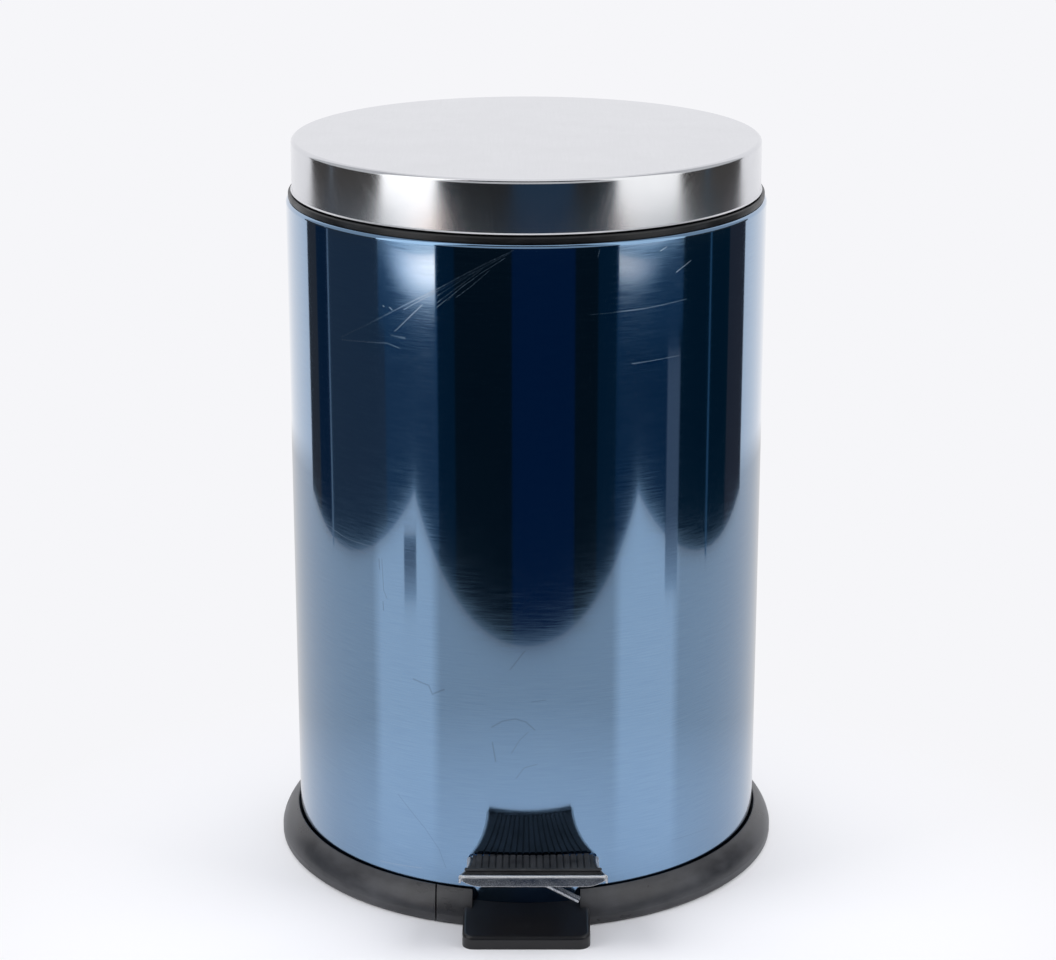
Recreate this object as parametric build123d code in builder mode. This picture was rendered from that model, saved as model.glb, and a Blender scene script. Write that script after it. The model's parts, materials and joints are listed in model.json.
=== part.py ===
from build123d import *
import os
from math import atan, cos, degrees, radians, sin, sqrt, tan

# A pedal trash can. The origin is on the floor on the body's axis, +Z is up and the pedal is at -Y.
os.makedirs("parts", exist_ok=True)

# Clearances
seat_gap = 0.2  # one fixed piece inside another
hole_gap = 0.1  # a fastener in its hole, on the radius
pivot_gap = 0.05  # a pin or bush that turns, on the radius
slide_gap = 0.4  # the push rod in its guides, on the radius
push_gap = 0.3  # between pieces that push on each other
swing_gap = 1.0  # room around a piece that swings

# Body
body_radius = 146.0
body_height = 410.5
body_sheet = 0.6
shoulder_radius = 2.5
body_flange_width = 4.9

# Base ring and the foot under the pedal
ring_reach = 11.7  # the band's widest point, beyond the body
ring_heel = 1.8  # the floor edge's step back from that point
ring_height = 20.0
ring_band_height = 6.0
ring_bulge = 1.0  # how far the sloping face rounds out
ring_top_gap = 1.2  # the dark gap between the top edge and the body
ring_top_depth = 4.0
ring_top_width = 0.8
ring_seat = 5.0  # the ledge that the body and the pan stand on
ring_ledge_width = 14.0
ring_relief = 1.5  # the ledge's underside above the floor
ring_joint_width = 0.9
ring_joint_angle = 21.5  # left of the front
foot_width = 75.8
foot_reach = 38.0
foot_front_height = 7.8
foot_rear_height = 13.8
foot_corner_radius = 9.0
foot_edge_radius = 2.0
foot_pocket_wall = 8.0

# Base pan and its screws
pan_sheet = 2.0
pan_rim_height = 14.0
boss_radius = 4.5
boss_height = 9.0
ring_screw_count = 6
ring_screw_inset = 7.0
screw_radius = 1.75
screw_head_radius = 3.5
screw_head_height = 2.0
screw_tip = 2.0  # how far a screw comes out of what it holds

# Top collar
collar_inset = 1.4
collar_band_height = 3.9
collar_wall = 5.4
collar_plug_depth = 7.7
collar_seat_depth = 5.5
collar_seat_width = 5.0
collar_rim_width = 4.0
collar_rim_height = 3.1

# Lid
lid_inset = 3.8
lid_gap = 0.9
lid_height = 31.2
lid_sheet = 0.6
lid_edge_radius = 2.5
lid_swing = 75.0
liner_gap = 0.4
liner_drop = 3.9  # the liner's underside above the lid's lower edge
liner_sheet = 2.2
liner_rim_inset = 2.2
liner_rim_width = 2.0
liner_rim_height = 9.8
liner_bead_radius = 96.0
liner_bead_width = 3.0
bumper_radius = 3.0
bumper_count = 4

# Hinge, crank and push rod
hinge_reach = 10.0
hinge_rise = 1.6
hinge_pin_radius = 2.5
knuckle_radius = 6.5
leaf_eye_radius = 6.0
leaf_sheet = 2.0
leaf_flange_sheet = 1.6
leaf_flange_width = 44.0
leaf_flange_height = 22.0
leaf_tip_radius = 1.5
crank_radius = 21.2
crank_tip_radius = 4.0
crank_pin_radius = 2.0
cheek_gap = 10.4  # between the leaf's two cheeks
notch_width = 18.4  # the opening in the body's back for the crank
notch_depth = 15.5
housing_width = 50.0
housing_depth = 20.0
housing_height = 33.5
housing_top_drop = 3.5  # the block's top below the pin
housing_back_wall = 2.5
housing_back_drop = 7.0
housing_chamfer = 8.0
housing_edge_radius = 4.0
housing_screw_spacing = 33.0
housing_screw_rise = 11.0
housing_screw_drop = 11.0
housing_bore_depth = 4.0
backing_sheet = 1.6
backing_width = 48.0
backing_height = 24.0
rivet_radius = 1.6
rivet_head_radius = 3.0
rivet_head_height = 1.5
rivet_tail_height = 0.9
rod_radius = 2.5
rod_cap_radius = 4.5
rod_cap_height = 10.0
rod_cap_crown = 3.0
crank_play = 0.7
guide_width = 16.0
guide_height = 8.0
guide_front = 6.0
guide_drop = 52.0  # the upper guide below the body's top
guide_rise = 92.0  # the lower guide above the ledge

# Lever and its bearing
pivot_forward = 40.0
pivot_height = 38.0
axle_radius = 3.0
bush_radius = 4.0
bush_flange_radius = 6.0
bush_flange = 1.0
lever_sheet = 2.0
lever_width = 34.0
lever_tail_width = 18.0
lever_tail_height = 30.0
lever_tail_lap = 5.0
lever_tail_flat = 13.0
lever_web_drop = 7.0
lever_wall_rise = 6.0
lever_wall_front = 70.0
lever_wall_back = 100.0
lever_wall_flat = 12.0
lever_wall_toe = 4.0
bracket_sheet = 2.0
bracket_gap = 0.4
bracket_length = 28.0
bracket_ear_radius = 8.0
clip_width = 1.0
clip_radius = 5.5

# Pedal
pedal_tilt = 12.0
pedal_root_height = 41.7  # the plate's top where it meets the body
pedal_reach = 46.0
pedal_gap = 2.0
pedal_rear_width = 79.0
pedal_front_width = 87.0
pedal_waist = 1.6
pedal_corner_radius = 4.0
pedal_shift = 4.0
plate_sheet = 1.5
plate_edge_radius = 1.2
front_flange = 6.6
side_lip = 3.0
hook_length = 9.0
tongue_width = 40.0
tongue_length = 26.0
pad_margin = 3.5
pad_base = 1.2
pad_border = 4.0
pad_border_height = 1.9
rib_height = 0.9
rib_pitch = 3.75
rib_width = 2.3
brace_radius = 2.0
brace_run = 25.0
brace_setback = 8.0
brace_across = 26.0
brace_out = 4.5
brace_down = 11.9
brace_bend = 6.0

# Bucket and its bail
bucket_gap = 1.0
bucket_wall = 2.0
bucket_floor_height = 66.0
bucket_taper = 11.0
bucket_rim_width = 4.0
bucket_rim_sheet = 2.2
bucket_corner_radius = 6.0
bail_radius = 1.75
bail_inset = 2.5  # from the rim's edge to the wire
bail_bend = 3.0
bail_end = 9.0
ear_width = 12.0
ear_sheet = 3.0
ear_cover = 2.5
grip_radius = 3.5
grip_length = 62.0

# Heights and radii that follow from them
body_inner = body_radius - body_sheet
body_top = ring_seat + body_height
flange_inner = body_radius - shoulder_radius - body_flange_width
collar_radius = body_radius - collar_inset
collar_plug = flange_inner - seat_gap
collar_throat = collar_plug - collar_wall
collar_seat_inner = collar_throat - collar_seat_width
ledge_z = body_top + collar_band_height
rim_z = ledge_z + collar_rim_height
seat_z = body_top - collar_seat_depth
lid_radius = body_radius - lid_inset
lid_inner = lid_radius - lid_sheet
lid_bottom = ledge_z + lid_gap
lid_top = lid_bottom + lid_height
liner_z = lid_bottom + liner_drop
ring_radius = body_radius + ring_reach
ring_bore = body_radius + seat_gap
ring_ledge_inner = body_radius - ring_ledge_width

# The crank rises evenly on both sides of level, so the rod moves nearly in step with the lid.
hinge_y = body_radius + hinge_reach
hinge_z = ledge_z + hinge_rise
half_swing = radians(lid_swing / 2)
crank_y = hinge_y - crank_radius * cos(half_swing)
crank_z = hinge_z - crank_radius * sin(half_swing)
rod_lift = 2 * crank_radius * sin(half_swing)
rod_y = hinge_y - crank_radius * (1 + cos(half_swing)) / 2
rod_top = crank_z - crank_pin_radius - crank_play
notch_z = body_top - notch_depth
leaf_rivet_heights = [liner_z + leaf_flange_height * share for share in (0.25, 0.75)]
housing_screw_heights = (notch_z - housing_screw_drop, notch_z + housing_screw_rise)

# The lever turns as far as it takes to lift the rod.
pivot_y = -pivot_forward
pivot_z = pivot_height
lever_arm = rod_y - pivot_y
press_angle = degrees(atan(rod_lift / lever_arm))
slope = tan(radians(pedal_tilt))
tilt_stretch = 1 / cos(radians(pedal_tilt))
pedal_run = pedal_reach * tilt_stretch
neck_fall = (body_radius - pivot_forward) * sin(radians(press_angle))
slot_top = pedal_root_height + swing_gap
slot_bottom = pedal_root_height - plate_sheet * tilt_stretch - neck_fall - swing_gap
slot_width = tongue_width + 4 * swing_gap


def plate_under(y):
    """The height of the pedal plate's underside at y."""
    return pedal_root_height - (y + body_radius) * slope - plate_sheet * tilt_stretch


def on_cylinder(radius, x):
    """How far back a cylinder of this radius lies at x."""
    return sqrt(radius**2 - x**2)


def leaf_rivet_places(radius):
    """The four places of the leaf's rivets on a cylinder of this radius, facing out."""
    turn = leaf_flange_width / 3 / lid_radius
    outwards = [Vector(sin(turn * side), cos(turn * side), 0) for side in (-1, 1)]
    return [
        Plane(origin=radius * out + Vector(0, 0, z), x_dir=(0, 0, 1), z_dir=out).location
        for out in outwards
        for z in leaf_rivet_heights
    ]


def housing_screw_places(y):
    """The four places of the housing's screws at y, facing back."""
    return [
        Location((side * housing_screw_spacing / 2, y, z), (-90, 0, 0))
        for side in (-1, 1)
        for z in housing_screw_heights
    ]


pedal_plane = Plane(
    origin=(pedal_shift, -body_radius, pedal_root_height),
    x_dir=(1, 0, 0),
    z_dir=(0, sin(radians(pedal_tilt)), cos(radians(pedal_tilt))),
)
pedal_side = Plane(
    origin=pedal_plane.origin,
    x_dir=-pedal_plane.y_dir,
    z_dir=(1, 0, 0),
)

# Body: a rolled sheet cylinder, turned in at the top, open at the pedal and behind the crank
with BuildPart() as body_shell:
    with BuildSketch(Plane.XZ):
        with BuildLine():
            shoulder_z = body_top - shoulder_radius
            shoulder_in = body_radius - shoulder_radius
            Polyline(
                (body_inner, shoulder_z),
                (body_inner, ring_seat),
                (body_radius, ring_seat),
                (body_radius, shoulder_z),
            )
            RadiusArc((body_radius, shoulder_z), (shoulder_in, body_top), -shoulder_radius)
            Polyline(
                (shoulder_in, body_top),
                (flange_inner, body_top),
                (flange_inner, body_top - body_sheet),
                (shoulder_in, body_top - body_sheet),
            )
            RadiusArc(
                (shoulder_in, body_top - body_sheet),
                (body_inner, shoulder_z),
                shoulder_radius - body_sheet,
            )
        make_face()
    revolve(axis=Axis.Z)
    with BuildSketch(Plane.XZ.offset(body_radius / 2)):
        with Locations((0, (slot_top + slot_bottom) / 2)):
            Rectangle(slot_width, slot_top - slot_bottom)
    extrude(amount=body_radius, mode=Mode.SUBTRACT)
    with BuildSketch(Plane.XZ.offset(-body_radius / 2)):
        with Locations((0, notch_z + notch_depth)):
            Rectangle(notch_width, 2 * notch_depth)
    extrude(amount=-body_radius, mode=Mode.SUBTRACT)
    with Locations(*housing_screw_places(body_radius)):
        Cylinder(screw_radius + hole_gap, 2 * housing_depth, mode=Mode.SUBTRACT)
body_shell.part.label = "body_shell"
export_step(body_shell.part, "parts/body_shell.step")

# Foot: the flat tongue under the pedal that keeps the can from tipping
foot_front = body_radius + foot_reach
with BuildPart() as foot:
    with BuildSketch(Plane.YZ):
        with BuildLine():
            Polyline(
                (-ring_ledge_inner, ring_relief),
                (-ring_bore, ring_relief),
                (-ring_bore, 0),
                (-foot_front, 0),
                (-foot_front, foot_front_height),
                (-body_radius, foot_rear_height),
                (-ring_ledge_inner, foot_rear_height),
                close=True,
            )
        make_face()
    extrude(amount=foot_width / 2, both=True)
    with BuildSketch(Plane.XY) as foot_plan:
        with Locations((0, -foot_front)):
            Rectangle(foot_width, 2 * foot_reach, align=(Align.CENTER, Align.MIN))
        fillet(foot_plan.vertices().group_by(Axis.Y)[0], foot_corner_radius)
    extrude(amount=ring_height, mode=Mode.INTERSECT)
    top_edges = foot.faces().filter_by(lambda f: f.normal_at().Z > 0.5).sort_by(Axis.Y)[0].edges()
    fillet(top_edges.filter_by(lambda e: e.center().Y < -body_radius), foot_edge_radius)
    with Locations((0, 0, ring_seat)):
        Cylinder(
            ring_bore,
            ring_height,
            align=(Align.CENTER, Align.CENTER, Align.MIN),
            mode=Mode.SUBTRACT,
        )

# Base ring: a moulded strip with a butt joint, cut away over the foot
screw_circle = body_radius - ring_screw_inset
with BuildPart() as base_ring:
    with BuildSketch(Plane.XZ):
        with BuildLine():
            band_top = (ring_radius, ring_band_height)
            lip_inner = body_radius + ring_top_gap
            lip_top = (lip_inner + ring_top_width, ring_height)
            slope_middle = (
                (band_top[0] + lip_top[0]) / 2 + ring_bulge,
                (band_top[1] + lip_top[1]) / 2 + ring_bulge,
            )
            Polyline(
                lip_top,
                (lip_inner, ring_height),
                (lip_inner, ring_height - ring_top_depth),
                (ring_bore, ring_height - ring_top_depth - ring_top_gap),
                (ring_bore, ring_seat),
                (ring_ledge_inner, ring_seat),
                (ring_ledge_inner, ring_relief),
                (ring_bore, ring_relief),
                (ring_bore, 0),
                (ring_radius - ring_heel, 0),
                (ring_radius, ring_heel),
                band_top,
            )
            ThreePointArc(band_top, slope_middle, lip_top)
        make_face()
    revolve(axis=Axis.Z)
    pocket_width = foot_width - 2 * foot_pocket_wall
    with Locations((0, -ring_bore, 0)):
        Box(
            pocket_width,
            2 * ring_reach,
            2 * ring_height,
            align=(Align.CENTER, Align.MAX, Align.CENTER),
            mode=Mode.SUBTRACT,
        )
        Box(
            pocket_width,
            ring_ledge_width,
            2 * ring_height,
            align=(Align.CENTER, Align.MIN, Align.MIN),
            mode=Mode.SUBTRACT,
        )
    add(foot.part)
    with PolarLocations(screw_circle, ring_screw_count, start_angle=0):
        Cylinder(screw_radius + hole_gap, 4 * ring_seat, mode=Mode.SUBTRACT)
    with PolarLocations(screw_circle, ring_screw_count, start_angle=0):
        Cylinder(
            screw_head_radius + seat_gap,
            2 * (ring_relief + screw_head_height),
            mode=Mode.SUBTRACT,
        )
    joint_turn = radians(ring_joint_angle)
    joint_place = (-body_radius * sin(joint_turn), -body_radius * cos(joint_turn), 0)
    with Locations(Location(joint_place, (0, 0, -ring_joint_angle))):
        Box(ring_joint_width, 4 * ring_ledge_width, 4 * ring_height, mode=Mode.SUBTRACT)
base_ring.part.label = "base_ring"
export_step(base_ring.part, "parts/base_ring.step")

# Ring screws: driven up through the ledge into the pan's bosses
with BuildPart() as ring_screws:
    with PolarLocations(screw_circle, ring_screw_count, start_angle=0):
        with Locations((0, 0, ring_relief)):
            Cylinder(
                screw_head_radius,
                screw_head_height,
                align=(Align.CENTER, Align.CENTER, Align.MIN),
            )
            Cylinder(
                screw_radius,
                ring_seat + boss_height - ring_relief - swing_gap,
                align=(Align.CENTER, Align.CENTER, Align.MIN),
            )
ring_screws.part.label = "ring_screws"
export_step(ring_screws.part, "parts/ring_screws.step")

# Base pan: the dished floor inside the body, with bosses for the ring's screws
pan_radius = body_inner - seat_gap
pan_floor_z = ring_seat + pan_sheet
bracket_half = lever_width / 2 + bush_flange + bracket_gap + bracket_sheet


def bracket_rivet_grid():
    """The four places of the bracket's rivets, around the pivot."""
    return GridLocations(lever_width / 2, bracket_length / 2, 2, 2)


with BuildPart() as base_pan:
    with BuildSketch(Plane.XZ):
        with BuildLine():
            Polyline(
                (0, ring_seat),
                (pan_radius, ring_seat),
                (pan_radius, ring_seat + pan_rim_height),
                (pan_radius - pan_sheet, ring_seat + pan_rim_height),
                (pan_radius - pan_sheet, pan_floor_z),
                (0, pan_floor_z),
                close=True,
            )
        make_face()
    revolve(axis=Axis.Z)
    with PolarLocations(screw_circle, ring_screw_count, start_angle=0):
        with Locations((0, 0, ring_seat)):
            Cylinder(boss_radius, boss_height, align=(Align.CENTER, Align.CENTER, Align.MIN))
    with PolarLocations(screw_circle, ring_screw_count, start_angle=0):
        with Locations((0, 0, ring_seat)):
            Cylinder(
                screw_radius + hole_gap,
                boss_height - hole_gap,
                align=(Align.CENTER, Align.CENTER, Align.MIN),
                mode=Mode.SUBTRACT,
            )
    with Locations((0, pivot_y, ring_seat)):
        with bracket_rivet_grid():
            Cylinder(rivet_radius + hole_gap, 4 * pan_sheet, mode=Mode.SUBTRACT)
base_pan.part.label = "base_pan"
export_step(base_pan.part, "parts/base_pan.step")

# Lever bracket: two ears on the pan that carry the axle
bracket_z = pan_floor_z + bracket_sheet
with BuildPart() as lever_bracket:
    with BuildSketch(Plane.YZ):
        with BuildLine():
            Polyline(
                (pivot_y - bracket_ear_radius, pivot_z),
                (pivot_y - bracket_length / 2, bracket_z),
                (pivot_y - bracket_length / 2, pan_floor_z),
                (pivot_y + bracket_length / 2, pan_floor_z),
                (pivot_y + bracket_length / 2, bracket_z),
                (pivot_y + bracket_ear_radius, pivot_z),
            )
            CenterArc((pivot_y, pivot_z), bracket_ear_radius, 0, 180)
        make_face()
    extrude(amount=bracket_half, both=True)
    with Locations((0, pivot_y, bracket_z)):
        Box(
            2 * (bracket_half - bracket_sheet),
            2 * bracket_length,
            2 * pivot_z,
            align=(Align.CENTER, Align.CENTER, Align.MIN),
            mode=Mode.SUBTRACT,
        )
    with Locations(Location((0, pivot_y, pivot_z), (0, 90, 0))):
        Cylinder(axle_radius + pivot_gap, 4 * bracket_half, mode=Mode.SUBTRACT)
    with Locations((0, pivot_y, pan_floor_z)):
        with bracket_rivet_grid():
            Cylinder(rivet_radius + hole_gap, 4 * bracket_sheet, mode=Mode.SUBTRACT)
lever_bracket.part.label = "lever_bracket"
export_step(lever_bracket.part, "parts/lever_bracket.step")

# Bracket rivets: heads on the bracket, tails under the pan
with BuildPart() as bracket_rivets:
    with Locations((0, pivot_y, 0)):
        with bracket_rivet_grid():
            with Locations((0, 0, ring_seat - rivet_tail_height)):
                Cylinder(
                    rivet_head_radius,
                    rivet_tail_height,
                    align=(Align.CENTER, Align.CENTER, Align.MIN),
                )
                Cylinder(
                    rivet_radius,
                    rivet_tail_height + pan_sheet + bracket_sheet + rivet_head_height,
                    align=(Align.CENTER, Align.CENTER, Align.MIN),
                )
            with Locations((0, 0, bracket_z)):
                Cylinder(
                    rivet_head_radius,
                    rivet_head_height,
                    align=(Align.CENTER, Align.CENTER, Align.MIN),
                )
bracket_rivets.part.label = "bracket_rivets"
export_step(bracket_rivets.part, "parts/bracket_rivets.step")

# Lever axle and its two retaining rings
clip_inner = bracket_half + seat_gap
axle_half = clip_inner + 2 * clip_width
with BuildPart() as lever_axle:
    with Locations(Location((0, pivot_y, pivot_z), (0, 90, 0))):
        Cylinder(axle_radius, 2 * axle_half)
lever_axle.part.label = "lever_axle"
export_step(lever_axle.part, "parts/lever_axle.step")

with BuildPart() as axle_clips:
    for side in (-1, 1):
        with Locations(Location((side * (clip_inner + clip_width / 2), pivot_y, pivot_z), (0, 90, 0))):
            Cylinder(clip_radius, clip_width)
            Cylinder(axle_radius + pivot_gap, clip_width, mode=Mode.SUBTRACT)
axle_clips.part.label = "axle_clips"
export_step(axle_clips.part, "parts/axle_clips.step")

# Pedal lever: a channel that turns on the axle, lapped under the pedal's tongue and under the rod
lever_front = -(body_inner - 2 * swing_gap - plate_sheet)
tongue_inner = -(body_radius - tongue_length)
tail_end = rod_y + lever_tail_lap
tail_bend = rod_y - lever_tail_flat
web_line = [
    (lever_front, plate_under(lever_front)),
    (tongue_inner, plate_under(tongue_inner)),
    (pivot_y, pivot_z - lever_web_drop),
    (tail_bend, lever_tail_height),
    (tail_end, lever_tail_height),
]
wall_line = [
    (pivot_y - lever_wall_front, plate_under(tongue_inner) - lever_sheet),
    (pivot_y - lever_wall_front, plate_under(tongue_inner) + lever_wall_toe),
    (pivot_y - lever_wall_flat, pivot_z + lever_wall_rise),
    (pivot_y + lever_wall_flat, pivot_z + lever_wall_rise),
    (pivot_y + lever_wall_back, lever_tail_height + lever_wall_toe),
    (pivot_y + lever_wall_back, lever_tail_height - lever_sheet),
    (pivot_y, pivot_z - lever_web_drop - lever_sheet),
]
lever_rivets_at = [(0, lever_front + tongue_length * share) for share in (0.3, 0.7)]
with BuildPart() as pedal_lever:
    with BuildSketch(Plane.YZ):
        with BuildLine():
            Polyline(*web_line, *[(y, z - lever_sheet) for y, z in reversed(web_line)], close=True)
        make_face()
    extrude(amount=lever_width / 2, both=True)
    with BuildSketch(Plane.YZ.offset(-lever_width / 2), Plane.YZ.offset(lever_width / 2 - lever_sheet)):
        with BuildLine():
            Polyline(*wall_line, close=True)
        make_face()
    extrude(amount=lever_sheet)
    with BuildSketch(Plane.XY):
        with BuildLine():
            Polyline(
                (-lever_width / 2, lever_front),
                (lever_width / 2, lever_front),
                (lever_width / 2, pivot_y + lever_wall_back),
                (lever_tail_width / 2, tail_bend),
                (lever_tail_width / 2, tail_end),
                (-lever_tail_width / 2, tail_end),
                (-lever_tail_width / 2, tail_bend),
                (-lever_width / 2, pivot_y + lever_wall_back),
                close=True,
            )
        make_face()
    extrude(amount=2 * pivot_z, mode=Mode.INTERSECT)
    with Locations(Location((0, pivot_y, pivot_z), (0, 90, 0))):
        Cylinder(bush_radius + hole_gap, 2 * lever_width, mode=Mode.SUBTRACT)
    with Locations(*[
        Location((x, y, plate_under(y)), (-pedal_tilt, 0, 0)) for x, y in lever_rivets_at
    ]):
        Cylinder(rivet_radius + hole_gap, 4 * lever_sheet, mode=Mode.SUBTRACT)
pedal_lever.part.label = "pedal_lever"
export_step(pedal_lever.part, "parts/pedal_lever.step")

# Lever rivets: join the pedal's tongue to the lever
with BuildPart() as lever_rivets:
    for x, y in lever_rivets_at:
        with Locations(Location((x, y, plate_under(y)), (-pedal_tilt, 0, 0))):
            with Locations((0, 0, plate_sheet)):
                Cylinder(
                    rivet_head_radius,
                    rivet_head_height,
                    align=(Align.CENTER, Align.CENTER, Align.MIN),
                )
            Cylinder(rivet_radius, 2 * plate_sheet, align=(Align.CENTER, Align.CENTER, Align.MIN))
            Cylinder(rivet_radius, lever_sheet, align=(Align.CENTER, Align.CENTER, Align.MAX))
            with Locations((0, 0, -lever_sheet)):
                Cylinder(
                    rivet_head_radius,
                    rivet_tail_height,
                    align=(Align.CENTER, Align.CENTER, Align.MAX),
                )
lever_rivets.part.label = "lever_rivets"
export_step(lever_rivets.part, "parts/lever_rivets.step")

# Lever bushes: flanged nylon sleeves in the lever's walls
with BuildPart() as lever_bushes:
    for side in (-1, 1):
        with Locations(Location((side * lever_width / 2, pivot_y, pivot_z), (0, side * 90, 0))):
            Cylinder(bush_flange_radius, bush_flange, align=(Align.CENTER, Align.CENTER, Align.MIN))
            Cylinder(bush_radius, lever_sheet, align=(Align.CENTER, Align.CENTER, Align.MAX))
            Cylinder(axle_radius + pivot_gap, 4 * lever_sheet, mode=Mode.SUBTRACT)
lever_bushes.part.label = "lever_bushes"
export_step(lever_bushes.part, "parts/lever_bushes.step")

# Pedal plate: pressed steel with turned-down edges and a tongue that passes through the body
front_half = pedal_front_width / 2
rear_half = pedal_rear_width / 2
with BuildSketch(Plane.XY) as plate_plan:
    with BuildLine():
        Polyline(
            (rear_half, 0),
            (rear_half, pedal_reach / 2),
            (-rear_half, pedal_reach / 2),
            (-rear_half, 0),
        )
        waist = ((front_half + rear_half) / 2 - pedal_waist, -pedal_run / 2)
        ThreePointArc((-rear_half, 0), (-waist[0], waist[1]), (-front_half, -pedal_run))
        Line((-front_half, -pedal_run), (front_half, -pedal_run))
        ThreePointArc((front_half, -pedal_run), waist, (rear_half, 0))
    make_face()
    fillet(plate_plan.vertices().group_by(Axis.Y)[0], pedal_corner_radius)
with BuildSketch(Plane.XY) as plate_hollow:
    add(plate_plan.sketch)
    offset(amount=-plate_sheet)
    with Locations((0, pedal_reach / 4)):
        Rectangle(2 * (rear_half - plate_sheet), pedal_reach)
with BuildPart() as pedal_plate:
    with BuildSketch(pedal_plane):
        add(plate_plan.sketch)
    extrude(amount=-front_flange)
    plate_top = pedal_plate.faces().sort_by(Axis(pedal_plane.origin, pedal_plane.z_dir))[-1]
    fillet(plate_top.edges().filter_by(lambda e: e.center().Y < -body_radius), plate_edge_radius)
    with BuildSketch(pedal_plane.offset(-plate_sheet)):
        add(plate_hollow.sketch)
    extrude(amount=-front_flange, mode=Mode.SUBTRACT)
    with BuildSketch(pedal_side):
        with BuildLine():
            hook_end = pedal_run - plate_sheet
            Polyline(
                (hook_end, front_flange),
                (hook_end, 2 * front_flange),
                (-pedal_run, 2 * front_flange),
                (-pedal_run, side_lip),
                (hook_end - hook_length, side_lip),
            )
            TangentArc(
                (hook_end - hook_length, side_lip),
                (hook_end, front_flange),
                tangent=(1, 0),
            )
        make_face()
    extrude(amount=pedal_front_width, both=True, mode=Mode.SUBTRACT)
    with Locations((0, 0, pedal_root_height)):
        Cylinder(body_radius + pedal_gap, 4 * pedal_reach, mode=Mode.SUBTRACT)
    with BuildSketch(pedal_plane):
        with Locations((-pedal_shift, 0)):
            Rectangle(tongue_width, 2 * tongue_length * tilt_stretch)
    extrude(amount=-plate_sheet)
    with Locations(*[
        Location((x, y, plate_under(y)), (-pedal_tilt, 0, 0)) for x, y in lever_rivets_at
    ]):
        Cylinder(rivet_radius + hole_gap, 4 * plate_sheet, mode=Mode.SUBTRACT)
pedal_plate.part.label = "pedal_plate"
export_step(pedal_plate.part, "parts/pedal_plate.step")

# Pedal pad: a ribbed rubber tread with a plain raised border along the front
pad_front = -pedal_run + pad_margin
pad_rib_span = pedal_rear_width - 2 * pad_margin - rib_pitch
rib_count = int(pad_rib_span / rib_pitch) + 1
with BuildSketch(Plane.XY) as pad_plan:
    add(plate_plan.sketch)
    offset(amount=-pad_margin)
    with Locations((0, pedal_reach / 4)):
        Rectangle(2 * (rear_half - pad_margin), pedal_reach)
with BuildPart() as pedal_pad:
    with BuildSketch(pedal_plane):
        add(pad_plan.sketch)
    extrude(amount=pad_base)
    with BuildSketch(pedal_plane.offset(pad_base)):
        with Locations((0, (pad_front + pad_border + pedal_reach / 2) / 2)):
            with GridLocations(rib_pitch, 0, rib_count, 1):
                Rectangle(rib_width, pedal_reach / 2 - pad_front - pad_border)
    extrude(amount=rib_height)
    with BuildSketch(pedal_plane):
        add(pad_plan.sketch)
        with Locations((0, pad_front + pad_border)):
            Rectangle(
                2 * pedal_front_width,
                2 * pedal_run,
                align=(Align.CENTER, Align.MIN),
                mode=Mode.SUBTRACT,
            )
    extrude(amount=pad_base + pad_border_height)
    with Locations((0, 0, pedal_root_height)):
        Cylinder(body_radius + pedal_gap, 4 * pedal_reach, mode=Mode.SUBTRACT)
pedal_pad.part.label = "pedal_pad"
export_step(pedal_pad.part, "parts/pedal_pad.step")

# Pedal brace: a bent wire welded under the plate, with its cut end pointing down to the right
brace_y = -(body_radius + pedal_reach - brace_setback)
brace_z = plate_under(brace_y) - brace_radius * tilt_stretch
brace_knee = pedal_shift + swing_gap
brace_end = (brace_knee + brace_across, brace_y - brace_out, brace_z - brace_down)
with BuildPart() as pedal_brace:
    with BuildLine() as brace_path:
        FilletPolyline(
            (brace_knee - brace_run, brace_y, brace_z),
            (brace_knee, brace_y, brace_z),
            brace_end,
            radius=brace_bend,
        )
    with BuildSketch(Plane(origin=brace_path.line @ 0, z_dir=brace_path.line % 0)):
        Circle(brace_radius)
    sweep()
pedal_brace.part.label = "pedal_brace"
export_step(pedal_brace.part, "parts/pedal_brace.step")

# Top collar: the black ring that finishes the body's edge and carries the bucket's rim
with BuildPart() as top_collar:
    with BuildSketch(Plane.XZ):
        with BuildLine():
            Polyline(
                (collar_seat_inner, body_top - collar_plug_depth),
                (collar_plug, body_top - collar_plug_depth),
                (collar_plug, body_top),
                (collar_radius, body_top),
                (collar_radius, ledge_z),
                (collar_throat + collar_rim_width, ledge_z),
                (collar_throat + collar_rim_width, rim_z),
                (collar_throat, rim_z),
                (collar_throat, seat_z),
                (collar_seat_inner, seat_z),
                close=True,
            )
        make_face()
    revolve(axis=Axis.Z)
    with BuildSketch(Plane.XZ.offset(-body_radius / 2)):
        with Locations((0, body_top)):
            Rectangle(notch_width, 4 * notch_depth)
    extrude(amount=-body_radius, mode=Mode.SUBTRACT)
top_collar.part.label = "top_collar"
export_step(top_collar.part, "parts/top_collar.step")

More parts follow.
